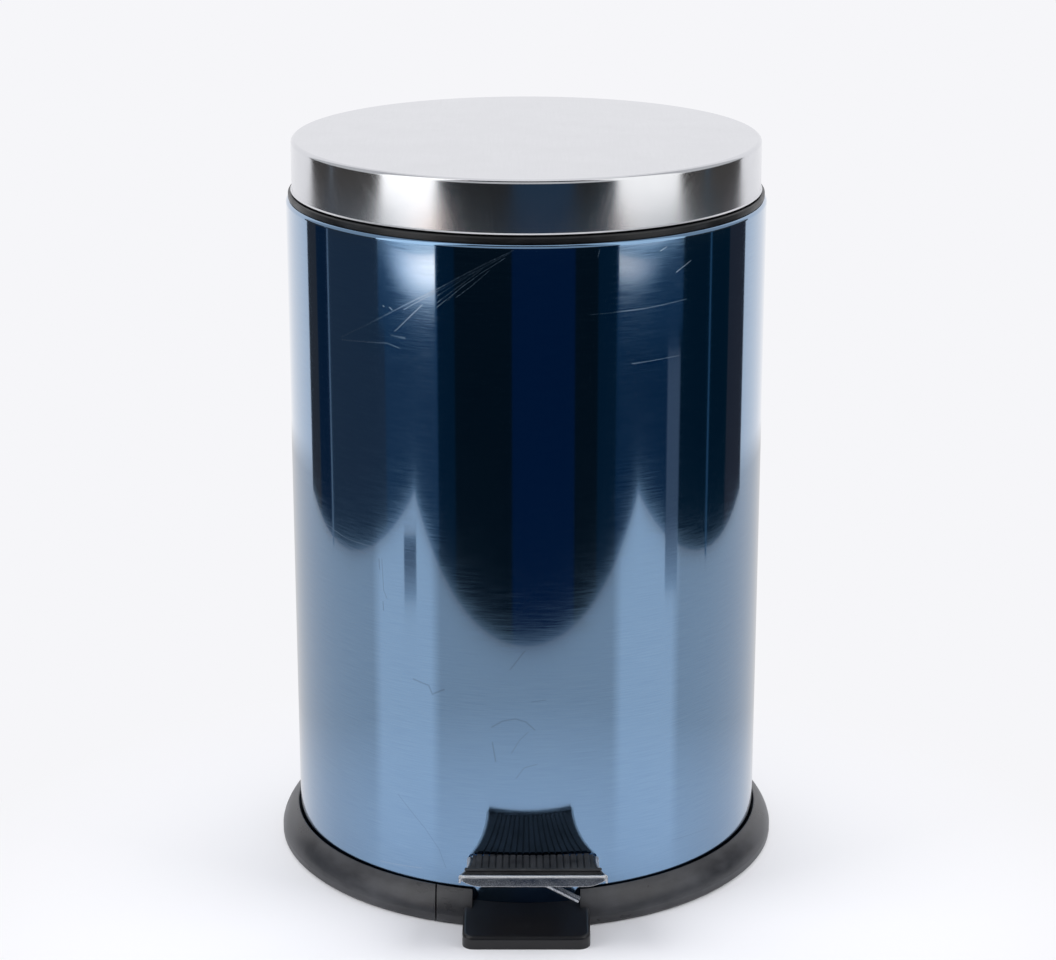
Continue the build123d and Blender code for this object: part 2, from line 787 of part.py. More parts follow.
# Inner bucket: hangs by its rim on the collar's seat, with two ears for the bail
bucket_top = collar_seat_inner - bucket_gap
bucket_bottom = bucket_top - bucket_taper
bucket_rim = bucket_top + bucket_rim_width
bucket_rim_z = seat_z + bucket_rim_sheet
ear_outer = bucket_top - bucket_wall
bail_z = bucket_rim_z + grip_radius + push_gap
with BuildPart() as inner_bucket:
    with BuildSketch(Plane.XZ):
        with BuildLine():
            Polyline(
                (0, bucket_floor_height),
                (bucket_bottom, bucket_floor_height),
                (bucket_top, seat_z),
                (bucket_rim, seat_z),
                (bucket_rim, bucket_rim_z),
                (bucket_top - bucket_wall, bucket_rim_z),
                (bucket_bottom - bucket_wall, bucket_floor_height + bucket_wall),
                (0, bucket_floor_height + bucket_wall),
                close=True,
            )
        make_face()
    revolve(axis=Axis.Z)
    bucket_foot = inner_bucket.edges().filter_by(GeomType.CIRCLE).group_by(Axis.Z)[0]
    fillet(bucket_foot, bucket_corner_radius)
    for side in (-1, 1):
        with Locations((side * (ear_outer - ear_sheet / 2), 0, seat_z)):
            Box(
                ear_sheet,
                ear_width,
                bail_z + bail_radius + ear_cover - seat_z,
                align=(Align.CENTER, Align.CENTER, Align.MIN),
            )
    with Locations(Location((0, 0, bail_z), (0, 90, 0))):
        Cylinder(bail_radius + hole_gap, 2 * ear_outer, mode=Mode.SUBTRACT)
inner_bucket.part.label = "inner_bucket"
export_step(inner_bucket.part, "parts/inner_bucket.step")

# Bail: a wire handle that lies over the rim's front half, hooked through the ears
bail_arc = bucket_rim - bail_inset
bend_x = sqrt((bail_arc - bail_bend) ** 2 - bail_bend**2)
bend_reach = bail_arc / (bail_arc - bail_bend)
bail_hook = (bend_x * bend_reach, -bail_bend * bend_reach, bail_z)
with BuildPart() as bail_handle:
    with BuildLine() as bail_path:
        Line((-bail_arc + bail_end, 0, bail_z), (-bend_x, 0, bail_z))
        RadiusArc((-bend_x, 0, bail_z), (-bail_hook[0], bail_hook[1], bail_z), -bail_bend)
        ThreePointArc((-bail_hook[0], bail_hook[1], bail_z), (0, -bail_arc, bail_z), bail_hook)
        RadiusArc(bail_hook, (bend_x, 0, bail_z), -bail_bend)
        Line((bend_x, 0, bail_z), (bail_arc - bail_end, 0, bail_z))
    with BuildSketch(Plane(origin=bail_path.line @ 0, z_dir=bail_path.line % 0)):
        Circle(bail_radius)
    sweep()
bail_handle.part.label = "bail_handle"
export_step(bail_handle.part, "parts/bail_handle.step")

# Bail grip: a plastic sleeve on the middle of the wire
grip_turn = degrees(grip_length / bail_arc)
with BuildPart() as bail_grip:
    with BuildLine() as grip_path:
        CenterArc((0, 0, bail_z), bail_arc, -90 - grip_turn / 2, grip_turn)
    with BuildSketch(Plane(origin=grip_path.line @ 0, z_dir=grip_path.line % 0)):
        Circle(grip_radius)
        Circle(bail_radius + hole_gap, mode=Mode.SUBTRACT)
    sweep()
bail_grip.part.label = "bail_grip"
export_step(bail_grip.part, "parts/bail_grip.step")

# Lid shell: a flat-topped steel cap
with BuildPart() as lid_shell:
    with BuildSketch(Plane.XZ):
        with BuildLine():
            edge_z = lid_top - lid_edge_radius
            edge_in = lid_radius - lid_edge_radius
            Polyline(
                (lid_inner, edge_z),
                (lid_inner, lid_bottom),
                (lid_radius, lid_bottom),
                (lid_radius, edge_z),
            )
            RadiusArc((lid_radius, edge_z), (edge_in, lid_top), -lid_edge_radius)
            Polyline(
                (edge_in, lid_top),
                (0, lid_top),
                (0, lid_top - lid_sheet),
                (edge_in, lid_top - lid_sheet),
            )
            RadiusArc((edge_in, lid_top - lid_sheet), (lid_inner, edge_z), lid_edge_radius - lid_sheet)
        make_face()
    revolve(axis=Axis.Z)
    with Locations(*leaf_rivet_places(lid_radius)):
        Cylinder(rivet_radius + hole_gap, 4 * leaf_flange_sheet, mode=Mode.SUBTRACT)
lid_shell.part.label = "lid_shell"
export_step(lid_shell.part, "parts/lid_shell.step")

# Lid liner: the plastic inside of the lid, with a stiffening rim and a bead
with BuildPart() as lid_liner:
    with BuildSketch(Plane.XZ):
        with BuildLine():
            liner_radius = lid_inner - liner_gap
            liner_top = liner_z + liner_sheet
            rim_outer = liner_radius - liner_rim_inset
            rim_inner = rim_outer - liner_rim_width
            bead_outer = liner_bead_radius + liner_bead_width
            bead_z = liner_top + liner_sheet
            Polyline(
                (0, liner_z),
                (liner_radius, liner_z),
                (liner_radius, liner_top),
                (rim_outer, liner_top),
                (rim_outer, liner_z + liner_rim_height),
                (rim_inner, liner_z + liner_rim_height),
                (rim_inner, liner_top),
                (bead_outer, liner_top),
                (bead_outer, bead_z),
                (liner_bead_radius, bead_z),
                (liner_bead_radius, liner_top),
                (0, liner_top),
                close=True,
            )
        make_face()
    revolve(axis=Axis.Z)
lid_liner.part.label = "lid_liner"
export_step(lid_liner.part, "parts/lid_liner.step")

# Lid bumpers: rubber pads under the liner, over the collar's rim
bumper_height = liner_z - rim_z - push_gap
bumper_circle = collar_throat + collar_rim_width / 2
with BuildPart() as lid_bumpers:
    with PolarLocations(bumper_circle, bumper_count, start_angle=180 / bumper_count):
        with Locations((0, 0, liner_z)):
            Cylinder(bumper_radius, bumper_height, align=(Align.CENTER, Align.CENTER, Align.MAX))
lid_bumpers.part.label = "lid_bumpers"
export_step(lid_bumpers.part, "parts/lid_bumpers.step")

# Hinge leaf: a curved flange on the lid's skirt, two cheeks on the pin, and the crank
leaf_inner = lid_radius + pivot_gap
leaf_outer = leaf_inner + leaf_flange_sheet
leaf_z = liner_z
cheek_outer = cheek_gap / 2 + leaf_sheet
cheek_planes = [Plane.YZ.offset(-cheek_outer), Plane.YZ.offset(cheek_gap / 2)]
leaf_tip_y = on_cylinder(leaf_outer, cheek_outer) + leaf_tip_radius / 2
with BuildPart() as hinge_leaf:
    with BuildSketch(Plane.XY.offset(leaf_z)):
        Circle(leaf_outer)
        Circle(leaf_inner, mode=Mode.SUBTRACT)
        with Locations((0, leaf_outer)):
            Rectangle(leaf_flange_width, leaf_outer, mode=Mode.INTERSECT)
    extrude(amount=leaf_flange_height)
    with BuildSketch(*cheek_planes):
        with Locations((hinge_y, hinge_z)):
            Circle(leaf_eye_radius)
        with Locations((crank_y, crank_z)):
            Circle(crank_tip_radius)
        make_hull()
    extrude(amount=leaf_sheet)
    with BuildSketch(*cheek_planes):
        with Locations((hinge_y, hinge_z)):
            Circle(leaf_eye_radius)
        with Locations(
            (leaf_tip_y, leaf_z + 2 * leaf_tip_radius),
            (leaf_tip_y, leaf_z + leaf_flange_height - leaf_tip_radius),
        ):
            Circle(leaf_tip_radius)
        make_hull()
    extrude(amount=leaf_sheet)
    with Locations(Location((0, hinge_y, hinge_z), (0, 90, 0))):
        Cylinder(hinge_pin_radius + pivot_gap, 4 * cheek_outer, mode=Mode.SUBTRACT)
    with Locations(Location((0, crank_y, crank_z), (0, 90, 0))):
        Cylinder(crank_pin_radius + hole_gap, 4 * cheek_outer, mode=Mode.SUBTRACT)
    with Locations(*leaf_rivet_places(leaf_outer)):
        Cylinder(rivet_radius + hole_gap, 4 * leaf_flange_sheet, mode=Mode.SUBTRACT)
hinge_leaf.part.label = "hinge_leaf"
export_step(hinge_leaf.part, "parts/hinge_leaf.step")

# Leaf rivets: hold the leaf to the lid's skirt
tail_start = lid_inner - hole_gap
with BuildPart() as leaf_rivets:
    for place in leaf_rivet_places(leaf_outer):
        with Locations(place):
            Cylinder(rivet_head_radius, rivet_head_height, align=(Align.CENTER, Align.CENTER, Align.MIN))
            Cylinder(rivet_radius, rivet_head_height, align=(Align.CENTER, Align.CENTER, Align.MIN))
            Cylinder(rivet_radius, leaf_outer - tail_start, align=(Align.CENTER, Align.CENTER, Align.MAX))
            with Locations((0, 0, tail_start - leaf_outer)):
                Cylinder(rivet_head_radius, rivet_tail_height, align=(Align.CENTER, Align.CENTER, Align.MAX))
leaf_rivets.part.label = "leaf_rivets"
export_step(leaf_rivets.part, "parts/leaf_rivets.step")

# Crank pin: the cross pin that the rod's cap pushes up
with BuildPart() as crank_pin:
    with Locations(Location((0, crank_y, crank_z), (0, 90, 0))):
        Cylinder(crank_pin_radius, 2 * cheek_outer)
crank_pin.part.label = "crank_pin"
export_step(crank_pin.part, "parts/crank_pin.step")

# Hinge housing: the moulded block behind the lid, open in the middle for the leaf and the crank
housing_back = body_radius + housing_depth
housing_top = hinge_z - housing_top_drop
housing_bottom = housing_top - housing_height
channel_width = 2 * (cheek_outer + swing_gap)
with BuildPart() as hinge_housing:
    with BuildSketch(Plane.YZ):
        with BuildLine():
            Polyline(
                (hinge_y + knuckle_radius, hinge_z),
                (hinge_y - knuckle_radius, hinge_z),
                (hinge_y - knuckle_radius, housing_top),
                (body_radius / 2, housing_top),
                (body_radius / 2, housing_bottom),
                (housing_back - housing_chamfer, housing_bottom),
                (housing_back, housing_bottom + housing_chamfer),
                (housing_back, housing_top),
                close=True,
            )
        make_face()
        with Locations((hinge_y, hinge_z)):
            Circle(knuckle_radius)
    extrude(amount=housing_width / 2, both=True)
    side_edges = hinge_housing.faces().filter_by(Axis.X).edges()
    back_edges = side_edges.filter_by(lambda e: e.center().Y > hinge_y and e.center().Z < housing_top)
    fillet(back_edges, housing_edge_radius)
    Cylinder(body_radius + hole_gap, 4 * body_height, mode=Mode.SUBTRACT)
    with Locations((0, housing_back - housing_back_wall, notch_z)):
        Box(
            channel_width,
            2 * housing_depth,
            2 * housing_height,
            align=(Align.CENTER, Align.MAX, Align.MIN),
            mode=Mode.SUBTRACT,
        )
    with Locations((0, housing_back, hinge_z - housing_back_drop)):
        Box(
            channel_width,
            2 * housing_depth,
            2 * housing_height,
            align=(Align.CENTER, Align.CENTER, Align.MIN),
            mode=Mode.SUBTRACT,
        )
    with Locations(Location((0, hinge_y, hinge_z), (0, 90, 0))):
        Cylinder(hinge_pin_radius + pivot_gap, 2 * housing_width, mode=Mode.SUBTRACT)
    with Locations(*housing_screw_places(housing_back)):
        CounterBoreHole(
            screw_radius + hole_gap,
            screw_head_radius + seat_gap,
            housing_bore_depth,
            2 * housing_depth,
        )
hinge_housing.part.label = "hinge_housing"
export_step(hinge_housing.part, "parts/hinge_housing.step")

# Hinge pin
with BuildPart() as hinge_pin:
    with Locations(Location((0, hinge_y, hinge_z), (0, 90, 0))):
        Cylinder(hinge_pin_radius, housing_width)
hinge_pin.part.label = "hinge_pin"
export_step(hinge_pin.part, "parts/hinge_pin.step")

# Backing plate: a steel saddle inside the body that takes the housing's screws
with BuildPart() as backing_plate:
    backing_outer = body_inner - hole_gap
    backing_bottom = housing_bottom + (housing_height - backing_height) / 2
    with BuildSketch(Plane.XY.offset(backing_bottom)):
        Circle(backing_outer)
        Circle(backing_outer - backing_sheet, mode=Mode.SUBTRACT)
        with Locations((0, backing_outer)):
            Rectangle(backing_width, backing_outer, mode=Mode.INTERSECT)
    extrude(amount=backing_height)
    with Locations((0, backing_outer, notch_z)):
        Box(
            notch_width,
            housing_depth,
            2 * backing_height,
            align=(Align.CENTER, Align.CENTER, Align.MIN),
            mode=Mode.SUBTRACT,
        )
    with Locations(*housing_screw_places(housing_back)):
        Hole(screw_radius + hole_gap, 2 * housing_depth)
backing_plate.part.label = "backing_plate"
export_step(backing_plate.part, "parts/backing_plate.step")

# Housing screws: pan heads sunk in the housing's back
screw_tip_y = on_cylinder(backing_outer - backing_sheet, housing_screw_spacing / 2) - screw_tip
screw_reach = housing_back - screw_tip_y
with BuildPart() as housing_screws:
    for place in housing_screw_places(housing_back - housing_bore_depth):
        with Locations(place):
            Cylinder(screw_head_radius, screw_head_height, align=(Align.CENTER, Align.CENTER, Align.MIN))
            Cylinder(screw_radius, screw_head_height, align=(Align.CENTER, Align.CENTER, Align.MIN))
            Cylinder(
                screw_radius,
                screw_reach - housing_bore_depth,
                align=(Align.CENTER, Align.CENTER, Align.MAX),
            )
housing_screws.part.label = "housing_screws"
export_step(housing_screws.part, "parts/housing_screws.step")

# Push rod: a straight wire with a round end on the lever's tail
rod_bottom = lever_tail_height + push_gap
with BuildPart() as push_rod:
    with BuildSketch(Plane.XZ.offset(-rod_y)):
        with BuildLine():
            Line((0, rod_bottom), (0, rod_top - rod_cap_crown))
            Line((0, rod_top - rod_cap_crown), (rod_radius, rod_top - rod_cap_crown))
            Line((rod_radius, rod_top - rod_cap_crown), (rod_radius, rod_bottom + rod_radius))
            RadiusArc((rod_radius, rod_bottom + rod_radius), (0, rod_bottom), rod_radius)
        make_face()
    revolve(axis=Axis((0, rod_y, 0), (0, 0, 1)))
push_rod.part.label = "push_rod"
export_step(push_rod.part, "parts/push_rod.step")

# Rod cap: a flat-topped plastic cap on the rod
with BuildPart() as rod_cap:
    with Locations((0, rod_y, rod_top)):
        Cylinder(rod_cap_radius, rod_cap_height, align=(Align.CENTER, Align.CENTER, Align.MAX))
    with Locations((0, rod_y, rod_top - rod_cap_crown)):
        Cylinder(
            rod_radius + hole_gap,
            rod_cap_height,
            align=(Align.CENTER, Align.CENTER, Align.MAX),
            mode=Mode.SUBTRACT,
        )
rod_cap.part.label = "rod_cap"
export_step(rod_cap.part, "parts/rod_cap.step")

# Rod guides: two saddles on the body's back wall that the rod slides in
guide_levels = {
    "upper_rod_guide": body_top - guide_drop,
    "lower_rod_guide": ring_seat + guide_rise,
}
for guide_name, guide_z in guide_levels.items():
    with BuildPart() as rod_guide:
        with BuildSketch(Plane.XY.offset(guide_z)):
            Circle(body_inner - hole_gap)
            with Locations((0, rod_y - guide_front)):
                Rectangle(
                    guide_width,
                    body_radius,
                    align=(Align.CENTER, Align.MIN),
                    mode=Mode.INTERSECT,
                )
            with Locations((0, rod_y)):
                Circle(rod_radius + slide_gap, mode=Mode.SUBTRACT)
        extrude(amount=guide_height)
    rod_guide.part.label = guide_name
    export_step(rod_guide.part, f"parts/{guide_name}.step")
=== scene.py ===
"""The looks of a pedal trash can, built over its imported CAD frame.

Lengths are in metres, +Z is up and the pedal points to -Y. Each class is one sub-assembly: it models the
pieces that show and gives every piece and every carried-over node its finish.
"""

from __future__ import annotations

import json
import logging
import math
from collections.abc import Callable, Iterator, Sequence
from contextlib import contextmanager
from dataclasses import dataclass, field
from enum import Enum

import bmesh
import bpy
from mathutils import Matrix, Vector

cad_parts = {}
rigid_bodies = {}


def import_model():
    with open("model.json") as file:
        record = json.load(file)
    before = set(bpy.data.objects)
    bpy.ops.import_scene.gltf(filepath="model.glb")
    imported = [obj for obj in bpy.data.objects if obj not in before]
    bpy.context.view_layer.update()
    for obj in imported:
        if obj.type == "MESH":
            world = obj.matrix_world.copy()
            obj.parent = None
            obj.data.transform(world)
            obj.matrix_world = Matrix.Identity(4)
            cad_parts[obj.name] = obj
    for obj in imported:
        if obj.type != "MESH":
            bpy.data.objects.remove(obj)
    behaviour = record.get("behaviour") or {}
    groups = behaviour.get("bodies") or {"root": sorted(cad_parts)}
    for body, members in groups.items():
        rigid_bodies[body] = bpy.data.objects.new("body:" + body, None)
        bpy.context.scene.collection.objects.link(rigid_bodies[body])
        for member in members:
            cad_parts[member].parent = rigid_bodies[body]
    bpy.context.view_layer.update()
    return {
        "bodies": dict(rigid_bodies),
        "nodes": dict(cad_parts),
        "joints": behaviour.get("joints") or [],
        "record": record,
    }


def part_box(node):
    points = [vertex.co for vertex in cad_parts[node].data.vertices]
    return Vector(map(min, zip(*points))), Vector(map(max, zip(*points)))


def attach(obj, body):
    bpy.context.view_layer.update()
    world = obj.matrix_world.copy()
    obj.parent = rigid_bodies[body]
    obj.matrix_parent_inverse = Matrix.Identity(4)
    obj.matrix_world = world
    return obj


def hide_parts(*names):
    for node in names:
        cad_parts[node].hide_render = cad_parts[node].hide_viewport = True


log = logging.getLogger("trash_can")

MM = 0.001
Point = tuple[float, float]
Triple = tuple[float, float, float]
Piece = bpy.types.Object
Tree = bpy.types.ShaderNodeTree
Socket = bpy.types.NodeSocket
Feeds = dict[str | int, object] | Sequence[object]

SAME_PLACE = 0.002 * MM  # vertices nearer to each other than this are merged
LEVEL = 0.01 * MM  # heights nearer to each other than this count as the same
UPWARD = 0.5  # a face whose normal rises more than this looks up
NOISE_SPAN = (0.3, 0.7)  # most of a noise's values lie between these


class Element(Enum):
    """What a selection in edit mode is made of."""

    VERTS = "VERT"
    EDGES = "EDGE"
    FACES = "FACE"


class Cut(Enum):
    """How one closed piece changes another."""

    AWAY = "DIFFERENCE"
    TOGETHER = "UNION"


# Mesh tools


def stand_alone(piece: Piece) -> None:
    """Leaves one piece selected and active.

    Args:
        piece: The piece to work on.
    """
    bpy.ops.object.select_all(action="DESELECT")
    piece.select_set(True)
    bpy.context.view_layer.objects.active = piece


@contextmanager
def editing(piece: Piece, element: Element) -> Iterator[None]:
    """Opens a piece in edit mode with nothing selected.

    Args:
        piece: The piece to edit.
        element: The kind of selection to start with.

    Yields:
        Nothing. Edit mode ends with the block.
    """
    stand_alone(piece)
    bpy.ops.object.mode_set(mode="EDIT")
    bpy.ops.mesh.select_mode(type=element.value)
    bpy.ops.mesh.select_all(action="DESELECT")
    yield
    bpy.ops.object.mode_set(mode="OBJECT")


def pick(piece: Piece, element: Element, test: Callable[[bmesh.types.BMElem], bool]) -> None:
    """Selects the parts of a piece in edit mode that pass a test of their place or normal.

    Args:
        piece: The piece that is being edited.
        element: The kind of part to test.
        test: Says whether a vertex, edge or face is wanted.
    """
    bpy.ops.mesh.select_mode(type=element.value)
    bpy.ops.mesh.select_all(action="DESELECT")
    mesh = bmesh.from_edit_mesh(piece.data)
    parts = {Element.VERTS: mesh.verts, Element.EDGES: mesh.edges, Element.FACES: mesh.faces}
    for part in parts[element]:
        part.select_set(test(part))
    mesh.select_flush_mode()
    bmesh.update_edit_mesh(piece.data)


def middle(edge: bmesh.types.BMEdge) -> Vector:
    """The middle of an edge."""
    return (edge.verts[0].co + edge.verts[1].co) / 2


def merge_and_face_out(piece: Piece) -> None:
    """Merges a piece's doubled vertices and turns its faces outwards.

    Args:
        piece: The closed piece.
    """
    with editing(piece, Element.VERTS):
        bpy.ops.mesh.select_all(action="SELECT")
        bpy.ops.mesh.remove_doubles(threshold=SAME_PLACE)
        bpy.ops.mesh.normals_make_consistent(inside=False)


def wire(name: str, points: Sequence[Vector]) -> Piece:
    """Draws a wire from point to point by extruding one vertex.

    Args:
        name: The new piece's name.
        points: Where the wire goes.

    Returns:
        The wire as a mesh with no faces.
    """
    bpy.ops.object.select_all(action="DESELECT")
    bpy.ops.mesh.primitive_plane_add(size=MM)
    piece = bpy.context.object
    piece.name = name
    with editing(piece, Element.VERTS):
        bpy.ops.mesh.select_all(action="SELECT")
        bpy.ops.mesh.merge(type="CENTER")
        bpy.ops.transform.translate(value=points[0])
        for start, end in zip(points, points[1:]):
            bpy.ops.mesh.extrude_region_move(TRANSFORM_OT_translate={"value": end - start})
    return piece


def filled(name: str, outline: Sequence[Vector]) -> Piece:
    """Draws a closed outline and fills it with one face.

    Args:
        name: The new piece's name.
        outline: The outline's points, in order.

    Returns:
        The flat piece.
    """
    piece = wire(name, [*outline, outline[0]])
    with editing(piece, Element.VERTS):
        bpy.ops.mesh.select_all(action="SELECT")
        bpy.ops.mesh.remove_doubles(threshold=SAME_PLACE)
        bpy.ops.mesh.select_all(action="SELECT")
        bpy.ops.mesh.edge_face_add()
    return piece


def arc(centre: Point, radius: float, start: float, end: float, steps: int) -> list[Point]:
    """Points on an arc, from one angle to another.

    Args:
        centre: The arc's centre.
        radius: Its radius.
        start: The first angle in degrees, counted from the first axis.
        end: The last angle in degrees.
        steps: How many straight runs stand for the arc.

    Returns:
        The points, both ends included.
    """
    turns = [math.radians(start + (end - start) * step / steps) for step in range(steps + 1)]
    return [(centre[0] + radius * math.cos(t), centre[1] + radius * math.sin(t)) for t in turns]


def rounded(corners: Sequence[Triple], steps: int = 5) -> list[Point]:
    """Rounds the corners of a closed outline.

    Args:
        corners: Each corner as its two coordinates and the radius it is rounded to.
        steps: How many straight runs stand for each rounding.

    Returns:
        The outline's points, in order.
    """
    outline: list[Point] = []
    for number, (x, y, radius) in enumerate(corners):
        here = Vector((x, y))
        if radius == 0:
            outline.append((x, y))
            continue
        before = (Vector(corners[number - 1][:2]) - here).normalized()
        after = (Vector(corners[(number + 1) % len(corners)][:2]) - here).normalized()
        half = before.angle(after) / 2
        centre = here + (before + after).normalized() * (radius / math.sin(half))
        first = here + before * (radius / math.tan(half)) - centre
        last = here + after * (radius / math.tan(half)) - centre
        start = math.degrees(math.atan2(first.y, first.x))
        sweep = (math.degrees(math.atan2(last.y, last.x)) - start + 180) % 360 - 180
        outline += arc(tuple(centre), radius, start, start + sweep, steps)
    return outline


def bowed(start: Point, end: Point, rise: float, steps: int) -> list[Point]:
    """Points of a shallow bow between two points.

    Args:
        start: Where the bow begins.
        end: Where it ends.
        rise: How far its middle stands off the straight line, to the left of its way.
        steps: How many straight runs stand for it.

    Returns:
        The points, both ends included.
    """
    first, last = Vector(start), Vector(end)
    side = Vector((first.y - last.y, last.x - first.x)).normalized()
    shares = [step / steps for step in range(steps + 1)]
    return [tuple(first.lerp(last, s) + side * (4 * rise * s * (1 - s))) for s in shares]


def turned(name: str, profile: Sequence[Point], turns: int) -> Piece:
    """Spins a closed profile about the can's axis.

    Args:
        name: The new piece's name.
        profile: The profile's points as radius and height, in order.
        turns: How many steps make the full circle.

    Returns:
        The closed ring or cap.
    """
    points = [Vector((radius, 0, height)) for radius, height in profile]
    piece = wire(name, [*points, points[0]])
    with editing(piece, Element.VERTS):
        bpy.ops.mesh.select_all(action="SELECT")
        bpy.ops.mesh.remove_doubles(threshold=SAME_PLACE)
        bpy.ops.mesh.spin(steps=turns, angle=math.tau, center=(0, 0, 0), axis=(0, 0, 1))
    merge_and_face_out(piece)
    return piece


def block(name: str, x: Point, y: Point, z: Point) -> Piece:
    """A box, as a start or as a cutter.

    Args:
        name: The new piece's name.
        x: Where it begins and ends along X.
        y: Where it begins and ends along Y.
        z: Where it begins and ends along Z.

    Returns:
        The box, with its place in its mesh.
    """
    low, high = (Vector(corner) for corner in zip(x, y, z))
    bpy.ops.object.select_all(action="DESELECT")
    bpy.ops.mesh.primitive_cube_add(size=1, location=(low + high) / 2)
    piece = bpy.context.object
    piece.name = name
    piece.scale = high - low
    bpy.ops.object.transform_apply(location=True, rotation=True, scale=True)
    return piece


def drum(name: str, radius: float, low: Vector, height: float, sides: int = 180) -> Piece:
    """An upright cylinder that cuts round seats and holes.

    Args:
        name: The new piece's name.
        radius: Its radius.
        low: The middle of its underside.
        height: Its height.
        sides: How many flats stand for the circle.

    Returns:
        The cylinder, with its place in its mesh.
    """
    bpy.ops.object.select_all(action="DESELECT")
    place = low + Vector((0, 0, height / 2))
    bpy.ops.mesh.primitive_cylinder_add(vertices=sides, radius=radius, depth=height, location=place)
    piece = bpy.context.object
    piece.name = name
    bpy.ops.object.transform_apply(location=True, rotation=True, scale=True)
    return piece


def apply_modifier(piece: Piece, kind: str, **settings: object) -> None:
    """Adds a modifier to a piece and applies it.

    Args:
        piece: The piece to finish.
        kind: The modifier's type.
        settings: The modifier's properties.
    """
    stand_alone(piece)
    modifier = piece.modifiers.new(kind.lower(), kind)
    for name, value in settings.items():
        setattr(modifier, name, value)
    bpy.ops.object.modifier_apply(modifier=modifier.name)


def combine(piece: Piece, other: Piece, how: Cut) -> None:
    """Cuts a second piece away from the first or fuses it on, and deletes the second."""
    apply_modifier(piece, "BOOLEAN", operation=how.value, solver="MANIFOLD", object=other)
    bpy.data.objects.remove(other)


def joined(name: str, pieces: Sequence[Piece]) -> Piece:
    """Joins several pieces into one mesh.

    Args:
        name: The joined piece's name.
        pieces: What to join.

    Returns:
        The joined piece.
    """
    stand_alone(pieces[0])
    for piece in pieces:
        piece.select_set(True)
    bpy.ops.object.join()
    pieces[0].name = name
    return pieces[0]


def copied(piece: Piece, name: str, places: Sequence[Matrix]) -> Piece:
    """Copies a piece to several places as one mesh, and deletes the first.

    Args:
        piece: The piece to copy.
        name: The name of the joined copies.
        places: Where each copy goes and how it is turned.

    Returns:
        The joined copies, with their places in their mesh.
    """
    copies = []
    for place in places:
        copy = piece.copy()
        copy.data = piece.data.copy()
        bpy.context.collection.objects.link(copy)
        copy.matrix_world = place
        copies.append(copy)
    bpy.data.objects.remove(piece)
    bpy.context.view_layer.update()
    row = joined(name, copies)
    bpy.ops.object.transform_apply(location=True, rotation=True, scale=True)
    return row


def smooth(piece: Piece, sharp: float = 32.0) -> None:
    """Shades a piece smooth and keeps its flats flat.

    Args:
        piece: The finished piece.
        sharp: The angle in degrees past which an edge stays sharp.
    """
    stand_alone(piece)
    bpy.ops.object.shade_smooth_by_angle(angle=math.radians(sharp))
    apply_modifier(piece, "WEIGHTED_NORMAL", mode="FACE_AREA", weight=50, keep_sharp=True)


# Materials


def linear(hex_code: str) -> tuple[float, float, float, float]:
    """Turns an sRGB hex colour into linear light.

    Args:
        hex_code: The colour as #RRGGBB.

    Returns:
        Its red, green, blue and alpha.
    """
    shares = [int(hex_code[place : place + 2], 16) / 255 for place in (1, 3, 5)]
    red, green, blue = (s / 12.92 if s <= 0.04045 else ((s + 0.055) / 1.055) ** 2.4 for s in shares)
    return red, green, blue, 1.0


def add_node(
    tree: Tree, kind: str, feeds: Feeds = (), out: str | int | None = None, **settings: object
) -> Socket:
    """Adds a node with its settings and links.

    Args:
        tree: The node tree.
        kind: The node's type, without its ShaderNode prefix.
        feeds: The values or sockets that feed its inputs, in order or by the input's name or number.
        out: The output that is wanted, by name or number, or None for the first in use.
        settings: The node's properties.

    Returns:
        That output, or the node's first input if it has no output.
    """
    node = tree.nodes.new("ShaderNode" + kind)
    for name, value in settings.items():
        setattr(node, name, value)
    pairs = feeds.items() if isinstance(feeds, dict) else enumerate(feeds)
    for name, value in pairs:
        if isinstance(value, bpy.types.NodeSocket):
            tree.links.new(value, node.inputs[name])
        else:
            node.inputs[name].default_value = value
    if out is not None:
        return node.outputs[out]
    shown = [socket for socket in node.outputs if socket.enabled]
    return shown[0] if shown else node.inputs[0]


def new_tree(name: str) -> tuple[bpy.types.Material, Tree]:
    """Makes a material with an empty node tree.

    Args:
        name: The material's name.

    Returns:
        The material and its tree.
    """
    material = bpy.data.materials.new(name)
    material.use_nodes = True
    material.node_tree.nodes.clear()
    return material, material.node_tree


def grain(tree: Tree, place: Socket, size: Sequence[float], detail: float = 3.0) -> Socket:
    """Noise whose marks have a real size.

    Args:
        tree: The node tree.
        place: The coordinates to draw it on, in metres.
        size: The length of a mark along each axis, in metres.
        detail: How many finer layers it has.

    Returns:
        The noise, from 0 to 1.
    """
    scale = [1 / length for length in size]
    scaled = add_node(tree, "VectorMath", [place, scale], operation="MULTIPLY")
    return add_node(tree, "TexNoise", {"Vector": scaled, "Scale": 1.0, "Detail": detail, "Roughness": 0.6})


@dataclass(frozen=True)
class Mark:
    """A scratch or dried run on the rolled sheet.

    Its path is in millimetres around the can from the front and up from the floor. Depth is above 0 for a
    scratch that bares bright metal, and below 0 for a dark run.
    """

    path: tuple[Point, ...]
    depth: float
    width: float = 0.45


